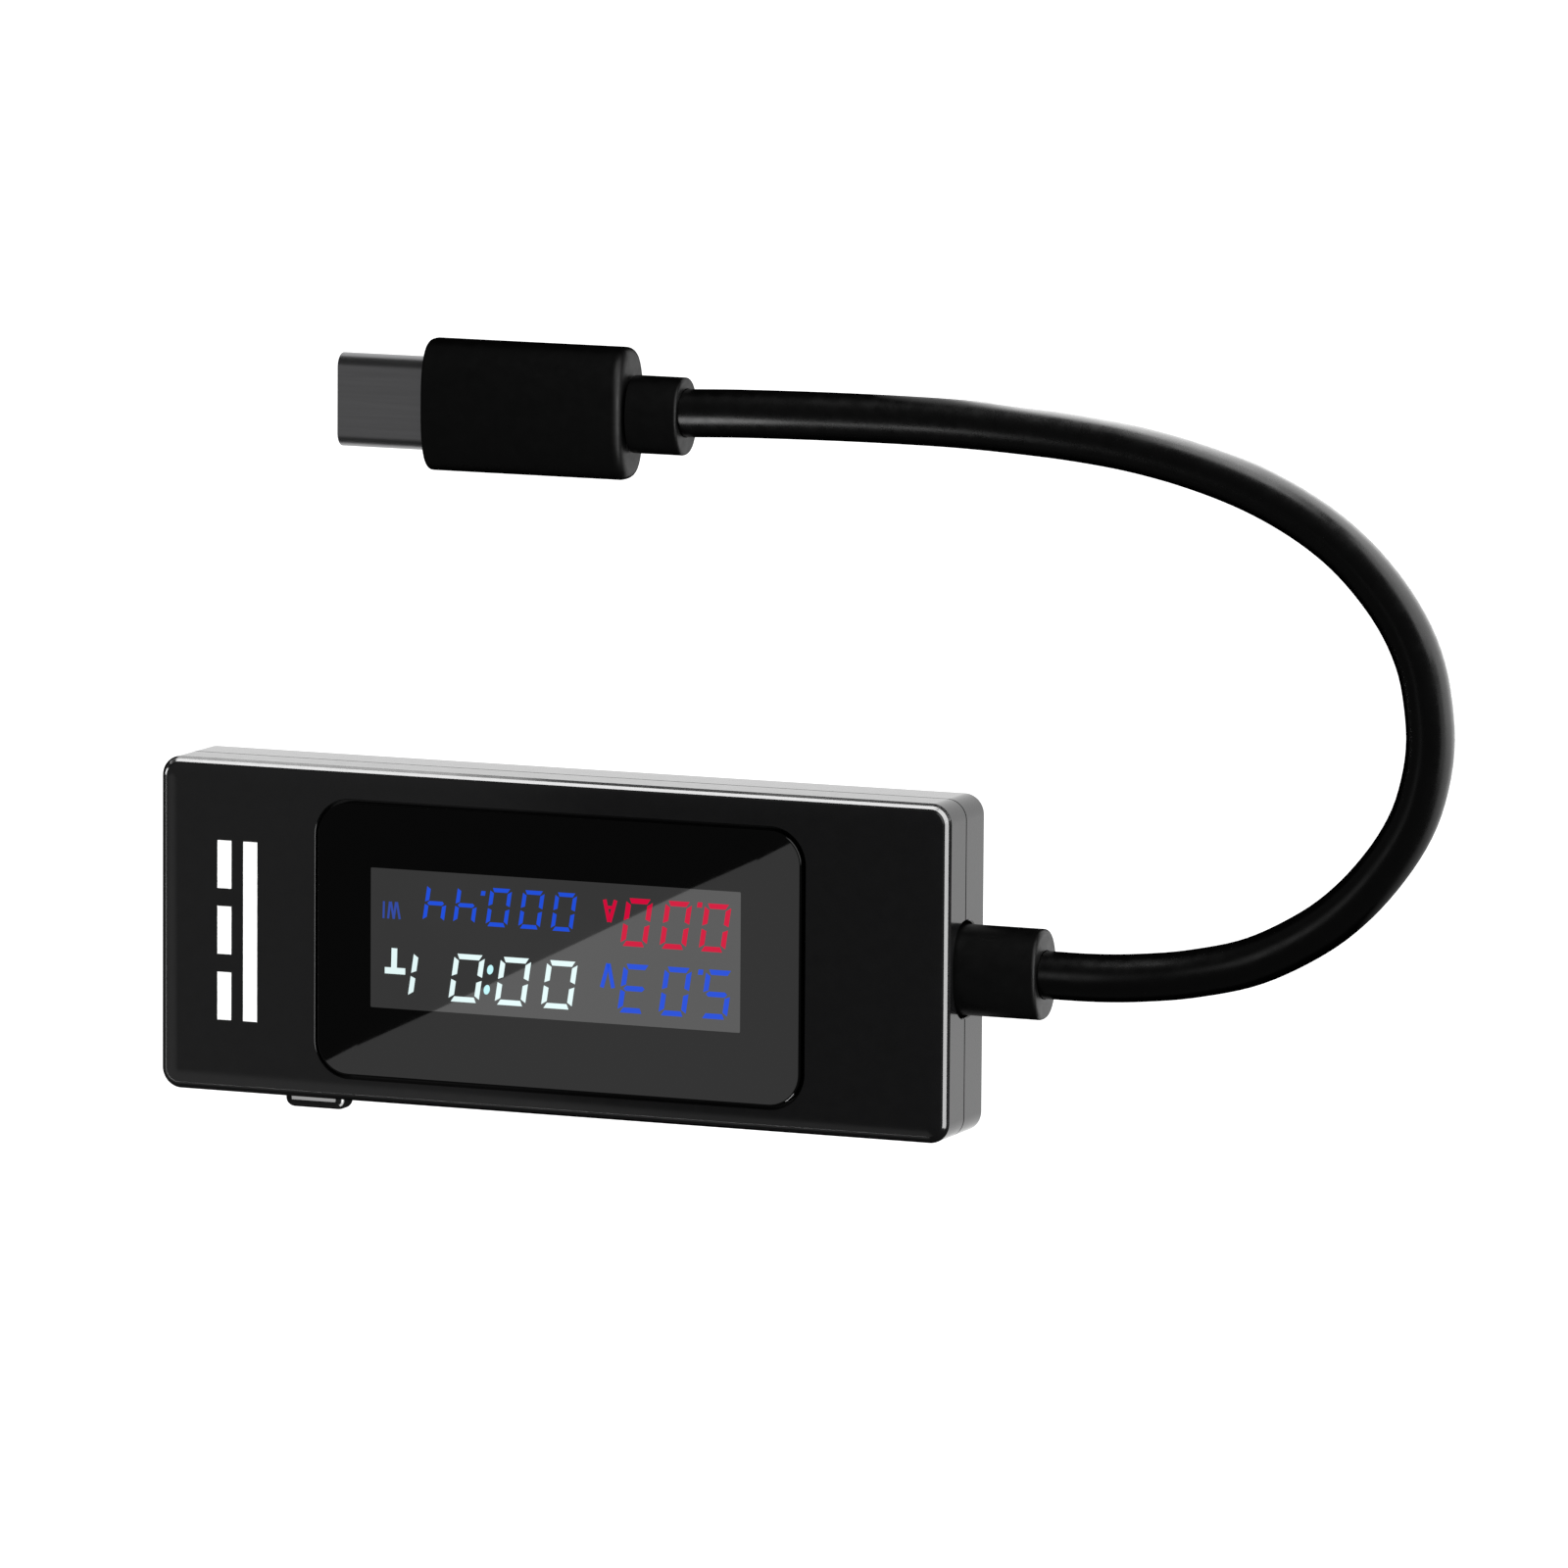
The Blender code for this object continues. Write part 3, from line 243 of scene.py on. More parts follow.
# Looks: colour, roughness, and how each differs from the usual surface
WHITE = (1.0, 1.0, 1.0, 1.0)
BLACK = (0.0, 0.0, 0.0, 1.0)
DRAWN = (0.15, 4.0, 4.0)  # stretch of the pattern in metal drawn along X
SURFACES = {
    "cable_vinyl": ((0.0025, 0.0025, 0.0025), 0.28, {"tone": 0.15, "Specular IOR Level": 0.45}),
    "moulded_rubber": ((0.003, 0.003, 0.003), 0.42, {
        "tone": 0.15, "grain": 0.006 * MM, "grain_scale": 4000.0, "Specular IOR Level": 0.4}),
    "case_satin": ((0.0035, 0.0035, 0.0036), 0.13, {"tone": 0.1, "rough_play": 0.02}),
    "case_gloss": ((0.0028, 0.0028, 0.0029), 0.16, {"tone": 0.1, "rough_play": 0.02}),
    "black_print": ((0.0004, 0.0004, 0.0004), 0.012, {"tone": 0.1, "rough_play": 0.003}),
    "dark_steel": ((0.23, 0.23, 0.235), 0.36, {
        "tone": 0.03, "tone_scale": 300.0, "rough_play": 0.03, "grain": 0.0002 * MM,
        "grain_scale": 1500.0, "stretch": DRAWN, "Metallic": 1.0}),
    "plated_steel": ((0.6, 0.6, 0.6), 0.28, {"tone": 0.08, "stretch": DRAWN, "Metallic": 1.0}),
    "contact_gold": ((0.75, 0.55, 0.24), 0.25, {"tone": 0.06, "Metallic": 1.0}),
    "contact_polymer": ((0.025, 0.025, 0.025), 0.45, {"tone": 0.15, "grain": 0.004 * MM}),
    "white_print": ((0.86, 0.86, 0.86), 0.4, {"tone": 0.03}),
}
# Looks of the nodes that keep their CAD shape, all inside the case
INNER_SURFACES = (
    ("main_pcb", "solder_mask", (0.01, 0.11, 0.045), 0.35, {
        "tone": 0.25, "tone_scale": 350.0, "grain": 0.01 * MM}),
    ("meter_controller_ic memory_ic voltage_regulator current_sense_amplifier",
     "chip_epoxy", (0.02, 0.02, 0.022), 0.5, {"tone": 0.2, "grain": 0.01 * MM, "grain_scale": 9000.0}),
    ("lcd_frame switch_plunger", "white_moulding", (0.74, 0.74, 0.72), 0.45, {
        "tone": 0.04, "grain": 0.005 * MM}),
    ("lcd_backlight", "light_guide_acrylic", (0.83, 0.85, 0.88), 0.25, {
        "tone": 0.04, "grain": 0.004 * MM}),
    ("timing_crystal", "plated_metal", (0.62, 0.6, 0.55), 0.3, {
        "tone": 0.1, "stretch": (1.0, 6.0, 1.0), "Metallic": 1.0}),
    ("lcd_glass", "liquid_crystal_glass", (0.03, 0.03, 0.032), 0.06, {"tone": 0.15, "rough_play": 0.02}),
    ("backlight_led", "led_phosphor", (0.88, 0.78, 0.25), 0.35, {"tone": 0.1}),
    ("zebra_strip_upper zebra_strip_lower", "striped_silicone", (0.35, 0.3, 0.32), 0.6, {
        "tone": 0.5, "tone_scale": 2500.0, "stretch": (1.0, 0.02, 0.02)}),
    ("shunt_resistor", "shunt_strip", (0.45, 0.41, 0.36), 0.38, {
        "stretch": (1.0, 8.0, 1.0), "Metallic": 1.0}),
    ("output_capacitor", "capacitor_body", (0.42, 0.3, 0.18), 0.4, {"tone": 0.15}),
    ("bypass_capacitor", "bypass_body", (0.5, 0.38, 0.24), 0.4, {"tone": 0.15}),
    ("switch_body", "switch_housing", (0.05, 0.05, 0.05), 0.5, {"tone": 0.2, "grain": 0.01 * MM}),
    ("wire_power", "red_insulation", (0.58, 0.02, 0.02), 0.4, {"grain": 0.01 * MM}),
    ("wire_data_plus", "green_insulation", (0.03, 0.34, 0.08), 0.4, {"grain": 0.01 * MM}),
    ("wire_configuration", "blue_insulation", (0.03, 0.1, 0.48), 0.4, {"grain": 0.01 * MM}),
    ("wire_data_minus", "white_insulation", (0.78, 0.78, 0.76), 0.4, {"tone": 0.05, "grain": 0.01 * MM}),
    ("wire_ground", "black_insulation", (0.02, 0.02, 0.02), 0.4, {"grain": 0.01 * MM}),
)
PANE_IOR = 1.87
PANE_GLOW = (0.031, 0.031, 0.031)
SEGMENT_IOR = 1.3
SEGMENT_GLOWS = {
    "segment_blue": (0.014, 0.078, 0.70),
    "segment_dim_blue": (0.034, 0.07, 0.36),
    "segment_crimson": (0.64, 0.002, 0.042),
    "segment_white": (0.80, 0.97, 0.97),
    "segment_cyan": (0.55, 0.95, 0.98),
}
GLOW_TONE = 0.06
DISPLAY_GLASS = {"colour": (0.004, 0.004, 0.004), "roughness": 0.012, "tone": 0.2, "tone_scale": 400.0,
                 "rough_play": 0.003}
# Noise patterns: scale, unless each look has its own, detail and roughness
MOTTLE = (4.0, 0.6)
SMEAR = (900.0, 3.0, 0.55)
GRAIN = (3.0, 0.65)
CLOUD = (90.0, 2.0, 0.5)  # makes the display's light uneven
NOISE_SPAN = (0.3, 0.7)  # where most values of a fine noise lie
CLOUD_SPAN = (0.25, 0.75)

# Which pieces each group of lights falls on
DISPLAY = " ".join(("window_border display_pane", *(row["name"] for row in LETTERING)))
RECEIVERS = {
    "display": DISPLAY,
    "case": "case_back case_front polarity_mark",
    "gloss": "case_edge side_button",
    "front": "case_front case_edge",
    "edge": "case_edge",
    "recess": "recess_edge",
    "cable": "lead_cable",
    "boot": "boot",
    "neck": "neck",
    "plug_body": "plug_body",
    "plug_shell": "plug_steel_shell",
    "rim": "boot neck plug_body",
    "button": "side_button",
    "window": "window_border",
    "fill": "case_back case_front case_edge side_button polarity_mark boot neck plug_body "
            "plug_steel_shell plug_contact_carrier " + DISPLAY,
    "table": "case_back case_front polarity_mark plug_steel_shell " + DISPLAY,
}

# Lights: name, group, azimuth from +X and elevation in degrees seen from the target, size, brightness,
# and what differs from the usual softbox
LIGHT_DISTANCE = 0.6
WIDE_BEAM = 180.0
SOFTBOXES = (
    ("crown_light", "front", 45.0, 45.0, (0.6, 0.3), 0.3, {}),
    ("low_crown_light", "front", 37.0, 17.0, (0.9, 0.3), 0.3, {}),
    ("corner_spot", "edge", 355.0, 15.0, (0.15, 0.15), 14.0, {}),
    ("recess_light", "recess", 168.0, 48.0, (0.35, 0.2), 4.5, {}),
    ("window_spot", "window", 113.0, 10.0, (0.25, 0.2), 14.0, {}),
    ("button_end_light", "button", 145.0, 18.0, (0.9, 0.3), 14.0, {"target": BUTTON_PLACE}),
    ("button_light", "button", 20.0, 66.0, (0.1, 0.1), 8.0, {"target": BUTTON_PLACE, "distance": 0.3}),
    ("fill", "fill", 215.0, 35.0, (0.8, 0.6), 1.5, {"distance": 0.7}),
    ("face_card", "front", 0.0, 90.0, (0.15, 0.25), 0.14, {
        "target": (0.125, 0.02, 0.0), "distance": 0.12}),
    ("lead_rear", "cable", 262.0, 12.0, (0.22, 0.3), 4.5, {}),
    ("lead_corner", "cable", 218.0, 5.0, (0.4, 0.3), 2.5, {}),
    ("lead_end", "cable", 177.0, 3.0, (0.3, 0.3), 0.8, {}),
    ("lead_spot", "cable", 51.0, 53.0, (0.03, 0.03), 0.63, {
        "target": (-0.012, -0.047, 0.003), "distance": 0.07, "spread": 60.0}),
    ("lead_start", "cable", 340.5, 66.0, (0.05, 0.03), 0.037, {
        "target": (-0.0575, 0.003, 0.003), "distance": 0.07, "spread": 40.0}),
    ("lead_rims", "rim", 178.0, 22.0, (0.3, 0.2), 5.0, {}),
    ("plug_top", "plug_shell", 19.6, 66.0, (0.3, 0.3), 0.3, {
        "target": (0.015, -0.0466, 0.003), "distance": 0.4}),
)
# Strips that the rim and the button mirror, and that only wash over the rest of the case
STRIPS = (
    ("rear_strip", 285.0, 14.0, (0.6, 0.16), 18.0),
    ("corner_strip", 225.0, 22.0, (0.7, 0.2), 16.0),
    ("end_strip", 172.0, 27.0, (0.4, 0.2), 13.0),
)
# Lights that lie on the floor: name, group, low corner, high corner, brightness
FLOOR_CARDS = (
    ("rear_floor", "front", (0.018, -0.26), (0.16, -0.06), 8.0),
    ("boot_floor", "boot", (-0.065, -0.012), (-0.0452, 0.012), 1.5),
    ("neck_floor", "neck", (-0.03, -0.055), (-0.0107, -0.038), 1.0),
    ("plug_floor", "plug_body", (-0.02, -0.055), (-0.0056, -0.038), 1.0),
)
FLOOR_CARD_LEVEL = 0.02 * MM
# Two points of the window on the edge of the overhead card's reflection, and one inside it
CARD_EDGE = ((-22.5 * MM, -10.67 * MM), (20.5 * MM, 11.07 * MM))
CARD_INSIDE = (-21.0 * MM, 11.0 * MM)
CARD_HEIGHT = 0.25
CARD_LIGHT = 0.79
CARD_STRETCH = 1.6  # its length for each unit of depth
# Turn of the cable in degrees from the plug's direction, and the light on the floor beside it
CABLE_GLOW = (
    (0.0, 0.0), (1.0, 1.0), (2.0, 3.0), (3.0, 6.5), (6.0, 8.2), (9.0, 7.0), (14.0, 6.8), (19.0, 4.6),
    (26.0, 4.4), (35.0, 4.2), (47.0, 3.2), (60.0, 2.6), (77.0, 2.4), (90.0, 2.0), (105.0, 1.2),
    (122.0, 0.5), (140.0, 0.0),
)
CABLE_GLOW_WIDTH = 60.0 * MM
FLOOR_CENTRE = (-0.03, -0.03, 0.0)
FLOOR_RADIUS = 0.088
FLOOR_LIGHT = 1.3
FLOOR_SIDES = 64
ROOM_LIGHT = 0.06

# Roundness
CORNER_STEPS = 14
RIM_STEPS = 8
SECTION_POINTS = 4 * (CORNER_STEPS + 1)
CURVE_STEPS = 24
CABLE_BEVEL_STEPS = 8
SHARP_ANGLE = math.radians(32)
FLAT_WEIGHT = 100  # how much more large faces count than small ones
QUARTERS = ((1, 1), (-1, 1), (-1, -1), (1, -1))
ROUND = 2.0  # squareness of a circle or an ellipse
CUT_OVERRUN = 1.0 * MM
HOLE_CHAMFER = 0.1 * MM
TINY = 0.01 * MM


# Outlines: rings of SECTION_POINTS points, counter-clockwise, that match each other by index

def rounded_ring(length, width, radius, centre=(0.0, 0.0)):
    ring = []
    for quarter, (side_x, side_y) in enumerate(QUARTERS):
        middle_x = centre[0] + side_x * (length / 2 - radius)
        middle_y = centre[1] + side_y * (width / 2 - radius)
        for step in range(CORNER_STEPS + 1):
            angle = QUARTER_TURN * (quarter + step / CORNER_STEPS)
            ring.append((middle_x + radius * math.cos(angle), middle_y + radius * math.sin(angle)))
    return ring


def oblong_ring(length, width, centre=(0.0, 0.0)):
    return rounded_ring(length, width, width / 2 - TINY / 2, centre)


def ellipse_ring(length, width, squareness, centre=(0.0, 0.0)):
    ring = []
    for step in range(SECTION_POINTS):
        angle = math.tau * step / SECTION_POINTS
        reach_x = math.copysign(abs(math.cos(angle)) ** (2 / squareness), math.cos(angle))
        reach_y = math.copysign(abs(math.sin(angle)) ** (2 / squareness), math.sin(angle))
        ring.append((centre[0] + reach_x * length / 2, centre[1] + reach_y * width / 2))
    return ring


def case_ring(inset):
    radius = max(CASE_CORNER_RADIUS - inset, CROWN_CORNER_RADIUS)
    return rounded_ring(CASE_LENGTH - 2 * inset, CASE_WIDTH - 2 * inset, radius)


def window_ring(grow):
    return rounded_ring(WINDOW_LENGTH + 2 * grow, WINDOW_WIDTH + 2 * grow, WINDOW_CORNER_RADIUS + grow,
                        WINDOW_CENTRE)


def cable_pocket(centre):
    width = 2 * (CABLE_RADIUS + CABLE_POCKET_PLAY)
    return ellipse_ring(width, width, ROUND, centre)


def rim(low, high, radius):
    """(level, inset) pairs that round an edge between two levels, from inset 0 to the radius."""
    pairs = []
    for step in range(RIM_STEPS + 1):
        angle = QUARTER_TURN * step / RIM_STEPS
        pairs.append((low + (high - low) * math.sin(angle), (1 - math.cos(angle)) * radius))
    return pairs


def front_edge():
    """(level, inset) pairs of the front's edge, from the foot of its first facet up to the face."""
    level = CASE_HEIGHT - sum(width * MM * math.sin(math.radians(tilt)) for tilt, width in FRONT_EDGE)
    inset = 0.0
    pairs = [(level, inset)]
    for tilt, width in FRONT_EDGE:
        level += width * MM * math.sin(math.radians(tilt))
        inset += width * MM * math.cos(math.radians(tilt))
        pairs.append((level, inset))
    return pairs


def sections(profile, width, thickness, squareness, centre):
    """Levels of a body with an oval section, from (level, inset) pairs."""
    return [(level, ellipse_ring(width - 2 * inset, thickness - 2 * inset, squareness, centre))
            for level, inset in profile]


# Solids

def place(axis, level, point):
    first, second = point
    return {"X": (level, first, second), "Y": (second, level, first), "Z": (first, second, level)}[axis]


def finish_mesh(mesh):
    mesh.shade_smooth()
    mesh.set_sharp_from_angle(angle=SHARP_ANGLE)


def new_piece(name, solid):
    """Object with the mesh that was built in solid."""
    mesh = bpy.data.meshes.new(name)
    solid.to_mesh(mesh)
    solid.free()
    piece = bpy.data.objects.new(name, mesh)
    bpy.context.scene.collection.objects.link(piece)
    return piece


def add_band(solid, lower, upper):
    """Faces between two closed rings of points."""
    for index in range(len(lower)):
        after = (index + 1) % len(lower)
        solid.faces.new((lower[index], lower[after], upper[after], upper[index]))


def loft(name, axis, levels, closed=False):
    """Object of rings joined one after the other; levels is a list of (level, ring).

    A closed loft joins its last ring to its first. An open one has both ends capped.
    """
    solid = bmesh.new()
    rings = [[solid.verts.new(place(axis, level, point)) for point in ring] for level, ring in levels]
    pairs = list(zip(rings, rings[1:]))
    if closed:
        pairs.append((rings[-1], rings[0]))
    for lower, upper in pairs:
        add_band(solid, lower, upper)
    if not closed:
        solid.faces.new(list(reversed(rings[0])))
        solid.faces.new(rings[-1])
    bmesh.ops.remove_doubles(solid, verts=solid.verts, dist=TINY / 10)
    bmesh.ops.recalc_face_normals(solid, faces=solid.faces)
    piece = new_piece(name, solid)
    finish_mesh(piece.data)
    return piece


def cut(piece, tool):
    """Cut a tool out of a piece."""
    step = piece.modifiers.new("cut", "BOOLEAN")
    step.operation = "DIFFERENCE"
    step.solver = "EXACT"
    step.object = tool
    bpy.context.view_layer.update()
    evaluated = piece.evaluated_get(bpy.context.evaluated_depsgraph_get())
    mesh = bpy.data.meshes.new_from_object(evaluated)
    piece.modifiers.remove(step)
    piece.data = mesh
    finish_mesh(mesh)
    bpy.data.objects.remove(tool)


def even_normals(piece):
    """Flat faces keep flat shading beside their rounded edges."""
    step = piece.modifiers.new("even_normals", "WEIGHTED_NORMAL")
    step.keep_sharp = True
    step.weight = FLAT_WEIGHT


def crisp_facets(piece, low, high):
    """Sharp level edges from low to high, so that each facet of a rim stays flat across."""
    mesh = piece.data
    for edge in mesh.edges:
        first, second = (mesh.vertices[index].co.z for index in edge.vertices)
        if abs(first - second) < TINY and low - TINY < first < high + TINY:
            edge.use_edge_sharp = True


def plates(name, polygons, low, high):
    """One object of flat plates, each the prism of a polygon between two levels."""
    solid = bmesh.new()
    for polygon in polygons:
        lower = [solid.verts.new((x, y, low)) for x, y in polygon]
        upper = [solid.verts.new((x, y, high)) for x, y in polygon]
        add_band(solid, lower, upper)
        solid.faces.new(list(reversed(lower)))
        solid.faces.new(upper)
    bmesh.ops.recalc_face_normals(solid, faces=solid.faces)
    return new_piece(name, solid)


def in_metres(point):
    return tuple(number * MM for number in point)


def smooth_path(points):
    """Evenly spaced points on the smooth (Catmull-Rom) curve through some points."""
    points = [2 * points[0] - points[1], *points, 2 * points[-1] - points[-2]]
    fine = []
    for before, start, end, after in zip(points, points[1:], points[2:], points[3:]):
        for step in range(CURVE_STEPS):
            t = step / CURVE_STEPS
            fine.append(0.5 * (2 * start + (end - before) * t
                               + (2 * before - 5 * start + 4 * end - after) * t ** 2
                               + (3 * start - before - 3 * end + after) * t ** 3))
    fine.append(points[-2])
    run = [0.0]
    for start, end in zip(fine, fine[1:]):
        run.append(run[-1] + (end - start).length)
    count = round(run[-1] / CABLE_POINT_SPACING)
    path = []
    index = 0
    for step in range(count):
        target = run[-1] * step / count
        while run[index + 1] < target:
            index += 1
        share = (target - run[index]) / (run[index + 1] - run[index])
        path.append(fine[index].lerp(fine[index + 1], share))
    path.append(fine[-1])
    return path


# Materials

def set_sockets(node, values):
    for socket, value in values.items():
        node.inputs[socket].default_value = value


def add_node(tree, kind, **inputs):
    node = tree.nodes.new(kind)
    set_sockets(node, {socket.replace("_", " "): value for socket, value in inputs.items()})
    return node


def add_noise(tree, where, scale, detail, roughness):
    noise = add_node(tree, "ShaderNodeTexNoise", Scale=scale, Detail=detail, Roughness=roughness)
    tree.links.new(where, noise.inputs["Vector"])
    return noise.outputs["Fac"]


def add_tones(tree, amount, span, colour, tone):
    """Colour that goes a share, the tone, below and above the given one over a span of the amount."""
    ramp = tree.nodes.new("ShaderNodeValToRGB")
    for element, position, share in zip(ramp.color_ramp.elements, span, (1 - tone, 1 + tone)):
        element.position = position
        element.color = (*[c * share for c in colour], 1.0)
    tree.links.new(amount, ramp.inputs["Fac"])
    return ramp.outputs["Color"]


def new_material(name, constants):
    material = bpy.data.materials.new(name)
    material.use_nodes = True
    tree = material.node_tree
    shader = tree.nodes["Principled BSDF"]
    set_sockets(shader, constants)
    return material, tree, shader


def surface(name, colour, roughness, tone=0.12, tone_scale=700.0, rough_play=0.05, grain=0.0,
            grain_scale=5000.0, stretch=(1.0, 1.0, 1.0), **constants):
    """Material with mottled colour, uneven roughness and, if grain is set, a fine bump.

    tone is the share by which the colour varies, grain the height of the bump in metres.
    """
    material, tree, shader = new_material(name, constants)
    link = tree.links.new
    where = tree.nodes.new("ShaderNodeTexCoord")
    mapping = add_node(tree, "ShaderNodeMapping", Scale=stretch)
    link(where.outputs["Object"], mapping.inputs["Vector"])
    pattern = mapping.outputs["Vector"]
    mottle = add_noise(tree, pattern, tone_scale, *MOTTLE)
    link(add_tones(tree, mottle, NOISE_SPAN, colour, tone), shader.inputs["Base Color"])
    spread = add_node(tree, "ShaderNodeMapRange", From_Min=NOISE_SPAN[0], From_Max=NOISE_SPAN[1],
                      To_Min=max(roughness - rough_play, 0.0), To_Max=roughness + rough_play)
    link(add_noise(tree, pattern, *SMEAR), spread.inputs["Value"])
    link(spread.outputs["Result"], shader.inputs["Roughness"])
    if grain:
        bump = add_node(tree, "ShaderNodeBump", Strength=1.0, Distance=grain)
        link(add_noise(tree, pattern, grain_scale, *GRAIN), bump.inputs["Height"])
        link(bump.outputs["Normal"], shader.inputs["Normal"])
    return material


def glow(name, colour, ior):
    """Glossy display material that gives off a steady light, slightly uneven as a backlight is."""
    material = surface(name, **DISPLAY_GLASS, IOR=ior)
    tree = material.node_tree
    shader = tree.nodes["Principled BSDF"]
    where = tree.nodes.new("ShaderNodeTexCoord")
    cloud = add_noise(tree, where.outputs["Object"], *CLOUD)
    tree.links.new(add_tones(tree, cloud, CLOUD_SPAN, colour, GLOW_TONE), shader.inputs["Emission Color"])
    shader.inputs["Emission Strength"].default_value = 1.0
    return material


def lamp(name, strength):
    """Material that gives off a plain white light and reflects nothing."""
    return new_material(name, {"Base Color": BLACK, "Roughness": 1.0, "Specular IOR Level": 0.0,
                               "Emission Color": WHITE, "Emission Strength": strength})


def dress(piece, material, replaced=(), body="meter"):
    """Give a piece its material and its body, and hide the CAD nodes that it stands for."""
    piece.data.materials.clear()
    piece.data.materials.append(material)
    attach(piece, body)
    if replaced:
        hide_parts(*replaced)
    return piece


# Camera

def direction(azimuth, elevation):
    flat = math.cos(elevation)
    return Vector((flat * math.cos(azimuth), flat * math.sin(azimuth), math.sin(elevation)))


def add_camera():
    toward = direction(CAMERA_DIRECTION, CAMERA_ELEVATION)
    right = Vector((0.0, -1.0, 0.0)).cross(toward).normalized()
    right = Matrix.Rotation(CAMERA_ROLL, 3, toward) @ right
    up = toward.cross(right)
    data = bpy.data.cameras.new("camera")
    data.lens = CAMERA_LENS
    data.sensor_width = CAMERA_SENSOR
    data.clip_start, data.clip_end = CAMERA_CLIP
    camera = bpy.data.objects.new("camera", data)
    turn = Matrix((right, up, toward)).transposed().to_4x4()
    camera.matrix_world = Matrix.Translation(Vector(CAMERA_TARGET) + toward * CAMERA_DISTANCE) @ turn
    bpy.context.scene.collection.objects.link(camera)
    bpy.context.scene.camera = camera
    return camera


# Lead

def cable_route():
    return [Vector(in_metres(point)) for point in CABLE_ROUTE]


def add_cable(material):
    route = cable_route()
    tucked = Vector((CABLE_POCKET, 0.0, 0.0))
    path = smooth_path([route[0] + tucked, *route, route[-1] + tucked])
    curve = bpy.data.curves.new("lead_cable", "CURVE")
    curve.dimensions = "3D"
    curve.bevel_depth = CABLE_RADIUS
    curve.bevel_resolution = CABLE_BEVEL_STEPS
    curve.use_fill_caps = True
    spline = curve.splines.new("POLY")
    spline.points.add(len(path) - 1)
    for point, position in zip(spline.points, path):
        point.co = (*position, 1.0)
    spline.use_smooth = True
    cable = bpy.data.objects.new("lead_cable", curve)
    bpy.context.scene.collection.objects.link(cable)
    return dress(cable, material, ("cable",))


def add_boot(material):
    centre = (0.0, BOOT_Z)
    flange = ellipse_ring(BOOT_FLANGE_WIDTH, BOOT_FLANGE_THICKNESS, BOOT_SQUARENESS, centre)
    profile = [(BOOT_FLANGE_OUTER, 0.0), *rim(BOOT_TIP + BOOT_RIM, BOOT_TIP, BOOT_RIM)]
    levels = [
        (BOOT_FLANGE_INNER, flange),
        (BOOT_FLANGE_OUTER, flange),
        *sections(profile, BOOT_WIDTH, BOOT_THICKNESS, BOOT_SQUARENESS, centre),
        (BOOT_TIP, cable_pocket(centre)),
        (BOOT_TIP + CABLE_POCKET + GAP, cable_pocket(centre)),
    ]
    boot = loft("boot", "X", levels)
    return dress(boot, material, ("cable_boot",))


def add_neck(material):
    profile = [(NECK_FRONT, 0.0), *rim(NECK_END + NECK_RIM, NECK_END, NECK_RIM)]
    pocket = cable_pocket((CABLE_ROUTE[-1][1] * MM, PLUG_Z))
    levels = [
        *sections(profile, NECK_WIDTH, NECK_THICKNESS, NECK_SQUARENESS, PLUG_CENTRE),
        (NECK_END, pocket),
        (NECK_END + CABLE_POCKET + GAP, pocket),
    ]
    neck = loft("neck", "X", levels)
    return dress(neck, material, ("plug_neck",))


def add_plug_body(material):
    profile = list(reversed(rim(BODY_BACK + BODY_BACK_RIM, BODY_BACK, BODY_BACK_RIM)))
    profile += rim(BODY_FRONT - BODY_FRONT_RIM, BODY_FRONT, BODY_FRONT_RIM)
    levels = sections(profile, BODY_WIDTH, BODY_THICKNESS, BODY_SQUARENESS, PLUG_CENTRE)
    body = loft("plug_body", "X", levels)
    pocket = oblong_ring(PLUG_SHELL_WIDTH + 2 * GAP, PLUG_SHELL_THICKNESS + 2 * GAP, PLUG_CENTRE)
    cut(body, loft("pocket_tool", "X", [(POCKET_FLOOR, pocket), (BODY_FRONT + CUT_OVERRUN, pocket)]))
    return dress(body, material, ("plug_overmold",))


def steel_shell(name, back, front, mouth, wall, lip, centre):
    """Shell with an oblong section, closed at its back; mouth is the width and height of its inside."""
    def outline(grow):
        return oblong_ring(mouth[0] + 2 * grow, mouth[1] + 2 * grow, centre)
    lips = rim(front - lip, front, lip)
    levels = [
        (back, outline(wall)),
        *((level, outline(wall - inset)) for level, inset in lips),
        *((level, outline(inset)) for level, inset in reversed(lips)),
        (back + wall, outline(0.0)),
    ]
    shell = loft(name, "X", levels)
    even_normals(shell)
    return shell


def add_plug_shell(material):
    mouth = (PLUG_SHELL_WIDTH - 2 * PLUG_SHELL_WALL, PLUG_SHELL_THICKNESS - 2 * PLUG_SHELL_WALL)
    shell = steel_shell("plug_steel_shell", PLUG_SHELL_BACK, PLUG_SHELL_TIP, mouth, PLUG_SHELL_WALL,
                        PLUG_SHELL_LIP, PLUG_CENTRE)
    return dress(shell, material, ("plug_shell",))


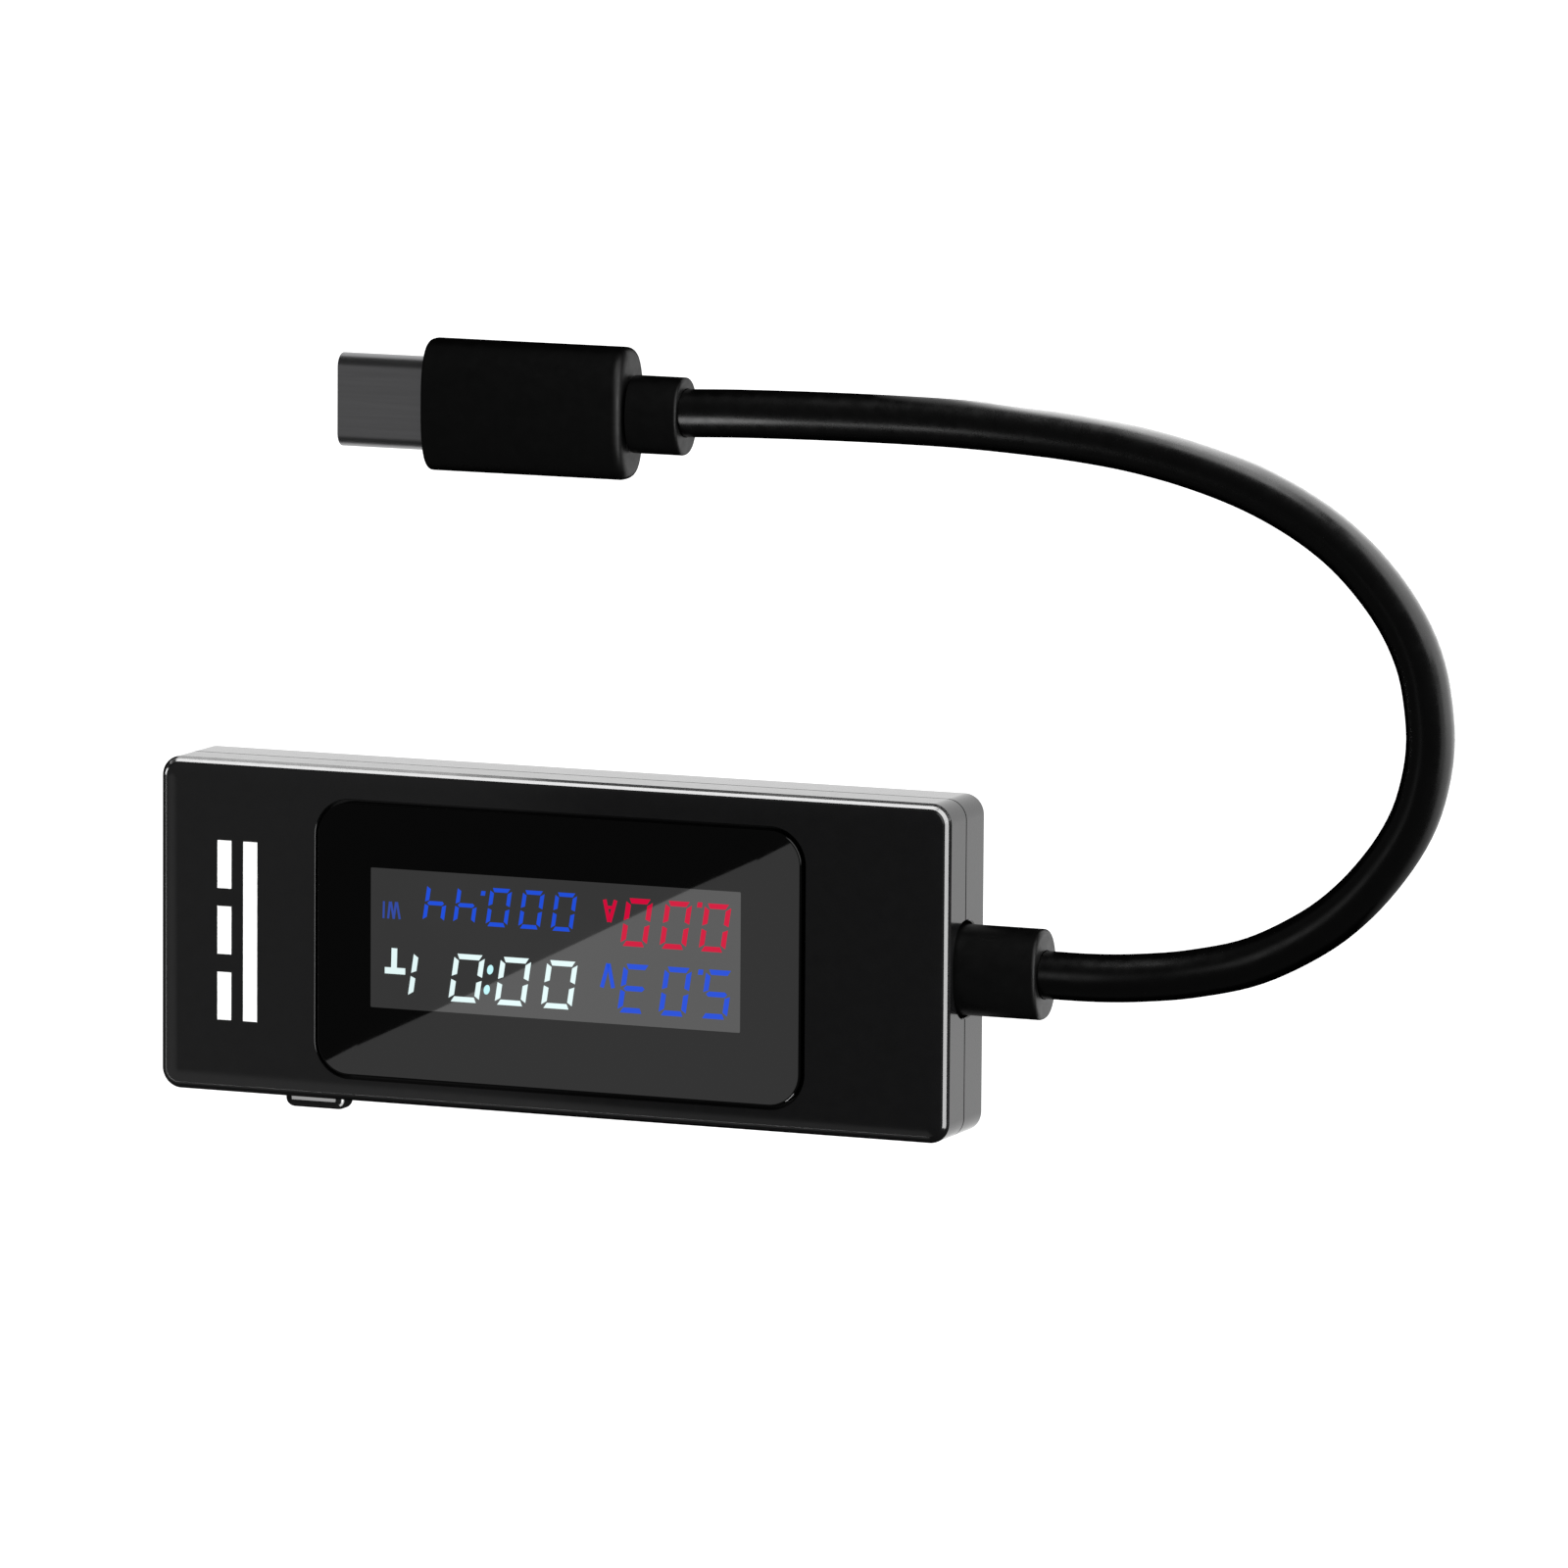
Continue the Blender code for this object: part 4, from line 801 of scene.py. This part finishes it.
def add_plug_insert(material):
    room = 2 * PLUG_SHELL_WALL + 2 * GAP
    outer = oblong_ring(PLUG_SHELL_WIDTH - room, PLUG_SHELL_THICKNESS - room, PLUG_CENTRE)
    slot = rounded_ring(INSERT_SLOT_WIDTH, INSERT_SLOT_HEIGHT, INSERT_SLOT_CORNER, PLUG_CENTRE)
    mouth = rounded_ring(INSERT_SLOT_WIDTH + INSERT_MOUTH_FLARE, INSERT_SLOT_HEIGHT + INSERT_MOUTH_FLARE,
                         INSERT_MOUTH_CORNER, PLUG_CENTRE)
    levels = [
        (INSERT_BACK, outer),
        (INSERT_TIP, outer),
        (INSERT_TIP, mouth),
        (INSERT_TIP - INSERT_MOUTH_FLARE, slot),
        (INSERT_TIP - INSERT_SLOT_DEPTH, slot),
    ]
    insert = loft("plug_contact_carrier", "X", levels)
    return dress(insert, material, ("plug_insert",))


# Case

def case_hole(name, axis, ring_for, outer):
    """Cutter through a wall whose mouth flares just inside the outer level, to chamfer the hole."""
    out = math.copysign(1.0, outer)
    levels = [
        (outer - out * (WALL + CUT_OVERRUN), ring_for(0.0)),
        (outer - out * HOLE_CHAMFER, ring_for(0.0)),
        (outer + out * CUT_OVERRUN, ring_for(HOLE_CHAMFER + CUT_OVERRUN)),
    ]
    return loft(name, axis, levels)


def cut_holes(shell):
    """Holes for the receptacle, the boot and the button."""
    def port(grow):
        room = 2 * (PORT_SHELL_WALL + GAP + grow)
        return oblong_ring(PORT_MOUTH_WIDTH + room, PORT_MOUTH_HEIGHT + room, (0.0, PORT_Z))

    def boot(grow):
        room = 2 * (GAP + grow)
        return ellipse_ring(BOOT_WIDTH + room, BOOT_THICKNESS + room, BOOT_SQUARENESS, (0.0, BOOT_Z))

    def button(grow):
        room = 2 * (GAP + grow)
        corner = BUTTON_CORNER_RADIUS + GAP + grow
        return rounded_ring(BUTTON_THICKNESS + room, BUTTON_LENGTH + room, corner, (BUTTON_Z, BUTTON_X))

    for name, axis, ring_for, outer in (("port_hole", "X", port, HALF_LENGTH),
                                        ("boot_hole", "X", boot, -HALF_LENGTH),
                                        ("button_hole", "Y", button, HALF_WIDTH)):
        cut(shell, case_hole(name, axis, ring_for, outer))


def add_case_back(material):
    profile = [
        *reversed(rim(BACK_RIM, 0.0, BACK_RIM)),
        (SEAM_LOW - SEAM_CHAMFER, 0.0),
        (SEAM_LOW, SEAM_CHAMFER),
        (SEAM_LOW, WALL - LIP),
        (LIP_TOP, WALL - LIP),
        (LIP_TOP, WALL),
        (PLATE, WALL),
    ]
    back = loft("case_back", "Z", [(level, case_ring(inset)) for level, inset in profile])
    cut_holes(back)
    even_normals(back)
    return dress(back, material, ("back_shell",))


def add_case_front(material):
    recess = window_ring(GAP)
    opening = rounded_ring(OPENING_LENGTH, OPENING_WIDTH, OPENING_CORNER_RADIUS, OPENING_CENTRE)
    rebate = case_ring(WALL - LIP - GAP)
    edge = front_edge()
    levels = [
        (SEAM_HIGH, case_ring(SEAM_CHAMFER)),
        (SEAM_HIGH + SEAM_CHAMFER, case_ring(0.0)),
        *((level, case_ring(inset)) for level, inset in edge),
        (CASE_HEIGHT, window_ring(GAP + RECESS_FLARE)),
        (CASE_HEIGHT - RECESS_CHAMFER, recess),
        (RECESS_FLOOR, recess),
        (RECESS_FLOOR, opening),
        (CEILING, opening),
        (CEILING, case_ring(WALL)),
        (REBATE_TOP, case_ring(WALL)),
        (REBATE_TOP, rebate),
        (SEAM_HIGH, rebate),
    ]
    front = loft("case_front", "Z", levels, closed=True)
    cut_holes(front)
    crisp_facets(front, edge[0][0], edge[FLAT_FACETS][0])
    even_normals(front)
    return dress(front, material, ("front_shell",))


def add_case_edge(material):
    """Polished skin on the facets of the front's edge."""
    facets = front_edge()[:FLAT_FACETS + 1]
    profile = [(level + EDGE_SKIN, inset - EDGE_SKIN) for level, inset in facets]
    profile += [(level - EDGE_SKIN, inset + EDGE_SKIN) for level, inset in reversed(facets)]
    edge = loft("case_edge", "Z", [(level, case_ring(inset)) for level, inset in profile], closed=True)
    crisp_facets(edge, 0.0, CASE_HEIGHT)
    even_normals(edge)
    return dress(edge, material)


def add_recess_edge(material):
    """Polished skin on the chamfer round the window's recess."""
    foot = CASE_HEIGHT - RECESS_CHAMFER
    profile = [
        (CASE_HEIGHT + RECESS_SKIN, RECESS_FLARE - RECESS_SKIN),
        (foot + RECESS_SKIN, -RECESS_SKIN),
        (foot - RECESS_SKIN, RECESS_SKIN),
        (CASE_HEIGHT - RECESS_SKIN, RECESS_FLARE + RECESS_SKIN),
    ]
    levels = [(level, window_ring(GAP + flare)) for level, flare in profile]
    edge = loft("recess_edge", "Z", levels, closed=True)
    return dress(edge, material)


def add_button(material):
    centre = (BUTTON_Z, BUTTON_X)
    flange = rounded_ring(BUTTON_FLANGE_HEIGHT, BUTTON_FLANGE_LENGTH, BUTTON_CORNER_RADIUS, centre)
    levels = [(BUTTON_FLANGE_INNER, flange), (BUTTON_FLANGE_OUTER, flange)]
    profile = [(BUTTON_FLANGE_OUTER, 0.0), *rim(BUTTON_TIP - BUTTON_RIM, BUTTON_TIP, BUTTON_RIM)]
    for level, inset in profile:
        levels.append((level, rounded_ring(BUTTON_THICKNESS - 2 * inset, BUTTON_LENGTH - 2 * inset,
                                           BUTTON_CORNER_RADIUS - inset, centre)))
    button = loft("side_button", "Y", levels)
    even_normals(button)
    return dress(button, material, ("button_cap",), "button")


# Window and display

def add_window(material):
    pane_centre = tuple((low + high) / 2 for low, high in zip(PANE_LOW, PANE_HIGH))
    hole = rounded_ring(PANE_HIGH[0] - PANE_LOW[0], PANE_HIGH[1] - PANE_LOW[1], PANE_CORNER_RADIUS,
                        pane_centre)
    profile = [(WINDOW_BOTTOM, 0.0), *rim(WINDOW_TOP - WINDOW_RIM, WINDOW_TOP, WINDOW_RIM)]
    levels = [
        (WINDOW_BOTTOM, hole),
        *((level, window_ring(-inset)) for level, inset in profile),
        (WINDOW_TOP, hole),
    ]
    window = loft("window_border", "Z", levels, closed=True)
    even_normals(window)
    return dress(window, material, ("display_window",))


def add_pane(material):
    low_x, low_y = (low + TINY for low in PANE_LOW)
    high_x, high_y = (high - TINY for high in PANE_HIGH)

    def outline(inset):
        return rounded_ring(high_x - low_x - 2 * inset, high_y - low_y - 2 * inset, PANE_CORNER_RADIUS,
                            ((low_x + high_x) / 2, (low_y + high_y) / 2))
    levels = [(WINDOW_BOTTOM, outline(0.0)), (PANE_TOP - TINY, outline(0.0)), (PANE_TOP, outline(TINY))]
    return dress(loft("display_pane", "Z", levels), material)


def leaned(points, centre):
    return [(centre[0] + x + SLANT * y, centre[1] + y) for x, y in points]


def digit(symbol, centre, width, height, bar):
    """Polygons of a slanted seven-segment digit; width and height are to the outsides of the bars."""
    right = width / 2
    top = height / 2
    corner = SEGMENT_CUT * bar
    tuck = SEGMENT_TUCK * bar
    point = right - SEGMENT_POINT * bar
    inner_x = right - bar
    inner_y = top - bar
    top_end = inner_x - TOP_TUCK * tuck
    middle_end = inner_x - MIDDLE_TUCK * tuck
    shapes = {
        "a": [(-right + corner, top), (right - corner, top), (top_end, inner_y), (-top_end, inner_y)],
        "g": [(-point, 0.0), (-middle_end, bar / 2), (middle_end, bar / 2),
              (point, 0.0), (middle_end, -bar / 2), (-middle_end, -bar / 2)],
        "b": [(right, top - SIDE_CUT * corner), (inner_x, inner_y - tuck),
              (inner_x, bar / 2 + SIDE_TUCK * tuck), (right, tuck)],
    }
    shapes["d"] = [(x, -y) for x, y in shapes["a"]]
    shapes["c"] = [(x, -y) for x, y in shapes["b"]]
    shapes["f"] = [(-x, y) for x, y in shapes["b"]]
    shapes["e"] = [(-x, -y) for x, y in shapes["b"]]
    return [leaned(shapes[letter], centre) for letter in DIGIT_SEGMENTS[symbol]]


def stroke(start, end, width):
    """Polygon of a straight stroke."""
    start, end = Vector(start), Vector(end)
    run = (end - start).normalized()
    side = Vector((-run.y, run.x)) * width / 2
    return [tuple(corner) for corner in (start + side, end + side, end - side, start - side)]


def rectangle(low_x, low_y, high_x, high_y):
    return [(low_x, low_y), (high_x, low_y), (high_x, high_y), (low_x, high_y)]


def dot(centre, size):
    half = size / 2
    return leaned(rectangle(-half, -half, half, half), centre)


def oval(centre):
    angles = [math.tau * step / OVAL_STEPS for step in range(OVAL_STEPS)]
    return leaned([(OVAL_WIDTH / 2 * math.cos(angle), OVAL_HEIGHT / 2 * math.sin(angle))
                   for angle in angles], centre)


def add_lettering(row, material):
    shapes = []
    for symbol, x in row.get("digits", ()):
        y, width, height, bar = in_metres(row["row"])
        shapes += digit(symbol, (x * MM, y), width, height, bar)
    shapes += [dot((x * MM, y * MM), size * MM) for x, y, size in row.get("dots", ())]
    shapes += [stroke(in_metres(start), in_metres(end), width * MM)
               for start, end, width in row.get("strokes", ())]
    shapes += [oval(in_metres(centre)) for centre in row.get("ovals", ())]
    piece = plates(row["name"], shapes, PANE_TOP - SEGMENT_SINK, SEGMENT_TOP)
    return dress(piece, material)


def add_mark(material):
    """Direct current symbol: one long bar beside a row of dashes."""
    shapes = [rectangle(MARK_LOW_X, MARK_LOW_Y, MARK_LOW_X + MARK_BAR, MARK_HIGH_Y)]
    dash = (MARK_HIGH_Y - MARK_LOW_Y - (MARK_DASHES - 1) * MARK_DASH_GAP) / MARK_DASHES
    for number in range(MARK_DASHES):
        low = MARK_LOW_Y + number * (dash + MARK_DASH_GAP)
        shapes.append(rectangle(MARK_HIGH_X - MARK_BAR, low, MARK_HIGH_X, low + dash))
    mark = plates("polarity_mark", shapes, CASE_HEIGHT - MARK_SINK, MARK_TOP)
    return dress(mark, material)


# Receptacle

def add_receptacle(metal, polymer, contact_metal):
    centre = (0.0, PORT_Z)
    shell = steel_shell("port_steel_shell", PORT_BACK, PORT_FRONT, (PORT_MOUTH_WIDTH, PORT_MOUTH_HEIGHT),
                        PORT_SHELL_WALL, PORT_LIP, centre)
    dress(shell, metal, ("receptacle_shell",))
    base_start = PORT_BACK + PORT_SHELL_WALL + GAP
    base_end = base_start + TONGUE_BASE
    base = oblong_ring(PORT_MOUTH_WIDTH - 2 * GAP, PORT_MOUTH_HEIGHT - 2 * GAP, centre)
    blade = rounded_ring(TONGUE_WIDTH, TONGUE_THICKNESS, TONGUE_CORNER, centre)
    tip = rounded_ring(TONGUE_WIDTH - 2 * TONGUE_TAPER, TONGUE_THICKNESS - 2 * TONGUE_TAPER,
                       TONGUE_TIP_CORNER, centre)
    tongue = loft("port_tongue", "X", [(base_start, base), (base_end, base), (base_end, blade),
                                       (TONGUE_TIP - TONGUE_TAPER, blade), (TONGUE_TIP, tip)])
    dress(tongue, polymer, ("receptacle_tongue",))
    back = base_end + CONTACT_BACK_GAP
    front = TONGUE_TIP - CONTACT_TIP_GAP
    shapes = []
    for number in range(CONTACT_COUNT):
        middle = (number - (CONTACT_COUNT - 1) / 2) * CONTACT_PITCH
        shapes.append(rectangle(back, middle - CONTACT_WIDTH / 2, front, middle + CONTACT_WIDTH / 2))
    for name, level in (("port_contacts_upper", PORT_Z + TONGUE_THICKNESS / 2),
                        ("port_contacts_lower", PORT_Z - TONGUE_THICKNESS / 2)):
        contacts = plates(name, shapes, level - CONTACT_PROUD, level + CONTACT_PROUD)
        dress(contacts, contact_metal)


# Studio

def receivers(name, pieces):
    group = bpy.data.collections.new(name + "_receivers")
    for piece in pieces.split():
        group.objects.link(bpy.data.objects[piece])
    return group


def area_light(name, size, strength, only, spread=WIDE_BEAM):
    """Rectangular light that only some pieces receive; its strength is per unit of area."""
    data = bpy.data.lights.new(name, "AREA")
    data.shape = "RECTANGLE"
    data.size, data.size_y = size
    data.energy = strength * size[0] * size[1] * math.pi
    data.spread = math.radians(spread)
    light = bpy.data.objects.new(name, data)
    light.visible_camera = False
    light.light_linking.receiver_collection = only
    bpy.context.scene.collection.objects.link(light)
    return light


def add_softbox(name, azimuth, elevation, size, strength, only, target=ORIGIN, distance=LIGHT_DISTANCE,
                spread=WIDE_BEAM):
    """Rectangular light seen from the target at an azimuth and elevation in degrees."""
    light = area_light(name, size, strength, only, spread)
    toward = direction(math.radians(azimuth), math.radians(elevation))
    light.location = Vector(target) + toward * distance
    light.rotation_euler = toward.to_track_quat("Z", "Y").to_euler()
    return light


def add_floor_card(name, low, high, strength, only):
    """Rectangular light that lies on the floor and faces up; low and high are its corners."""
    light = area_light(name, (high[0] - low[0], high[1] - low[1]), strength, only)
    light.location = ((low[0] + high[0]) / 2, (low[1] + high[1]) / 2, FLOOR_CARD_LEVEL)
    light.rotation_euler = (math.pi, 0.0, 0.0)


def glow_strength(turn):
    """Light on the floor beside a stretch of cable, from its turn in degrees."""
    for (before, low), (after, high) in zip(CABLE_GLOW, CABLE_GLOW[1:]):
        if before <= turn < after:
            return low + (high - low) * (turn - before) / (after - before)
    return 0.0


def add_cable_glow(only):
    """Strip of light on the floor, along the outside of the cable."""
    path = smooth_path(cable_route())
    solid = bmesh.new()
    layer = solid.verts.layers.float.new("glow")
    edges = []
    for start, end in zip(path, path[1:]):
        along = end - start
        strength = glow_strength(math.degrees(math.atan2(-along.y, along.x)))
        if strength > 0.0:
            outward = Vector((along.y, -along.x)).normalized() * CABLE_GLOW_WIDTH
            near = solid.verts.new((start.x, start.y, FLOOR_CARD_LEVEL))
            far = solid.verts.new((start.x + outward.x, start.y + outward.y, FLOOR_CARD_LEVEL))
            near[layer] = far[layer] = strength
            edges.append((near, far))
    for (near, far), (next_near, next_far) in zip(edges, edges[1:]):
        solid.faces.new((near, far, next_far, next_near))
    strip = new_piece("cable_glow", solid)
    material, tree, shader = lamp("cable_glow", 1.0)
    amount = tree.nodes.new("ShaderNodeAttribute")
    amount.attribute_name = "glow"
    tree.links.new(amount.outputs["Fac"], shader.inputs["Emission Strength"])
    strip.data.materials.append(material)
    strip.visible_camera = False
    strip.light_linking.receiver_collection = only


def mirrored_onto(point, eye, height):
    """Where a sight line to a point of the window meets a level above it, once mirrored there."""
    under_eye = Vector((*eye.xy, 2 * WINDOW_TOP - eye.z))
    surface_point = Vector((*point, WINDOW_TOP))
    run = (height - under_eye.z) / (WINDOW_TOP - under_eye.z)
    return under_eye + (surface_point - under_eye) * run


def add_card(eye, only):
    """Overhead card with a straight edge, which the window mirrors."""
    start, end = (mirrored_onto(point, eye, CARD_HEIGHT) for point in CARD_EDGE)
    inside = mirrored_onto(CARD_INSIDE, eye, CARD_HEIGHT)
    along = (end - start).normalized()
    across = Vector((-along.y, along.x, 0.0))
    if across.dot(inside - start) < 0:
        across = -across
    depth = (end - start).length
    middle = (start + end) / 2 + across * depth / 2
    up = along.cross(across)
    if up.z < 0:
        along, up = -along, -up
    card = area_light("overhead_card", (depth * CARD_STRETCH, depth), CARD_LIGHT, only)
    card.matrix_world = Matrix.Translation(middle) @ Matrix((along, across, up)).transposed().to_4x4()


def add_floor(only):
    """Light table: a pale floor that glows evenly."""
    solid = bmesh.new()
    bmesh.ops.create_circle(solid, cap_ends=True, segments=FLOOR_SIDES, radius=FLOOR_RADIUS)
    floor = new_piece("floor", solid)
    floor.location = FLOOR_CENTRE
    floor.data.materials.append(lamp("light_table", FLOOR_LIGHT)[0])
    floor.light_linking.receiver_collection = only


def add_room():
    """World that the camera sees as bright as the floor, and that lights the pieces dimly."""
    world = bpy.data.worlds.new("studio")
    bpy.context.scene.world = world
    world.use_nodes = True
    tree = world.node_tree
    tree.nodes.clear()
    output = tree.nodes.new("ShaderNodeOutputWorld")
    paths = tree.nodes.new("ShaderNodeLightPath")
    room = add_node(tree, "ShaderNodeBackground", Color=WHITE, Strength=ROOM_LIGHT)
    seen = add_node(tree, "ShaderNodeBackground", Color=WHITE, Strength=FLOOR_LIGHT)
    mix = tree.nodes.new("ShaderNodeMixShader")
    link = tree.links.new
    link(paths.outputs["Is Camera Ray"], mix.inputs["Fac"])
    link(room.outputs["Background"], mix.inputs[1])
    link(seen.outputs["Background"], mix.inputs[2])
    link(mix.outputs["Shader"], output.inputs["Surface"])


def light_studio(camera):
    groups = {name: receivers(name, pieces) for name, pieces in RECEIVERS.items()}
    bpy.context.view_layer.update()
    add_card(camera.matrix_world.translation, groups["display"])
    for name, azimuth, elevation, size, strength in STRIPS:
        add_softbox(name, azimuth, elevation, size, strength, groups["gloss"])
        wash = add_softbox(name + "_wash", azimuth, elevation, size, strength, groups["case"])
        wash.visible_glossy = False
    for name, group, azimuth, elevation, size, strength, changes in SOFTBOXES:
        add_softbox(name, azimuth, elevation, size, strength, groups[group], **changes)
    add_cable_glow(groups["cable"])
    for name, group, low, high, strength in FLOOR_CARDS:
        add_floor_card(name, low, high, strength, groups[group])
    add_floor(groups["table"])
    add_room()


# The whole picture

def add_lead(looks):
    cable = add_cable(looks["cable_vinyl"])
    add_boot(looks["moulded_rubber"])
    neck = add_neck(looks["moulded_rubber"])
    body = add_plug_body(looks["moulded_rubber"])
    shell = add_plug_shell(looks["dark_steel"])
    insert = add_plug_insert(looks["contact_polymer"])


def add_meter(looks):
    add_case_back(looks["case_satin"])
    add_case_front(looks["case_gloss"])
    add_case_edge(looks["case_gloss"])
    add_recess_edge(looks["case_gloss"])
    add_button(looks["case_satin"])
    add_window(looks["black_print"])
    add_pane(looks["display_off"])
    for row in LETTERING:
        add_lettering(row, looks[row["material"]])
    add_mark(looks["white_print"])
    add_receptacle(looks["plated_steel"], looks["contact_polymer"], looks["contact_gold"])
    for nodes, name, colour, roughness, changes in INNER_SURFACES:
        look = surface(name, colour, roughness, **changes)
        for node in nodes.split():
            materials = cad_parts[node].data.materials
            materials.clear()
            materials.append(look)


def build():
    camera = add_camera()
    looks = {name: surface(name, colour, roughness, **changes)
             for name, (colour, roughness, changes) in SURFACES.items()}
    looks["display_off"] = glow("display_off", PANE_GLOW, PANE_IOR)
    looks.update((name, glow(name, colour, SEGMENT_IOR)) for name, colour in SEGMENT_GLOWS.items())
    add_lead(looks)
    add_meter(looks)
    light_studio(camera)


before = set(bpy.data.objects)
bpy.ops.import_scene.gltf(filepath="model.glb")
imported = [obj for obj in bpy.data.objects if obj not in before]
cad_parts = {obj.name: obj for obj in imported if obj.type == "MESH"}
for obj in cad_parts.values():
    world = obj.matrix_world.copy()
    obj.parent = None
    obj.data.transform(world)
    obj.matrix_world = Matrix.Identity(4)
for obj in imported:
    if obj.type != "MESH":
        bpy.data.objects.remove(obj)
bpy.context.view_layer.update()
build()
bpy.context.scene.view_settings.view_transform = "Standard"
bpy.context.scene.view_settings.look = "None"
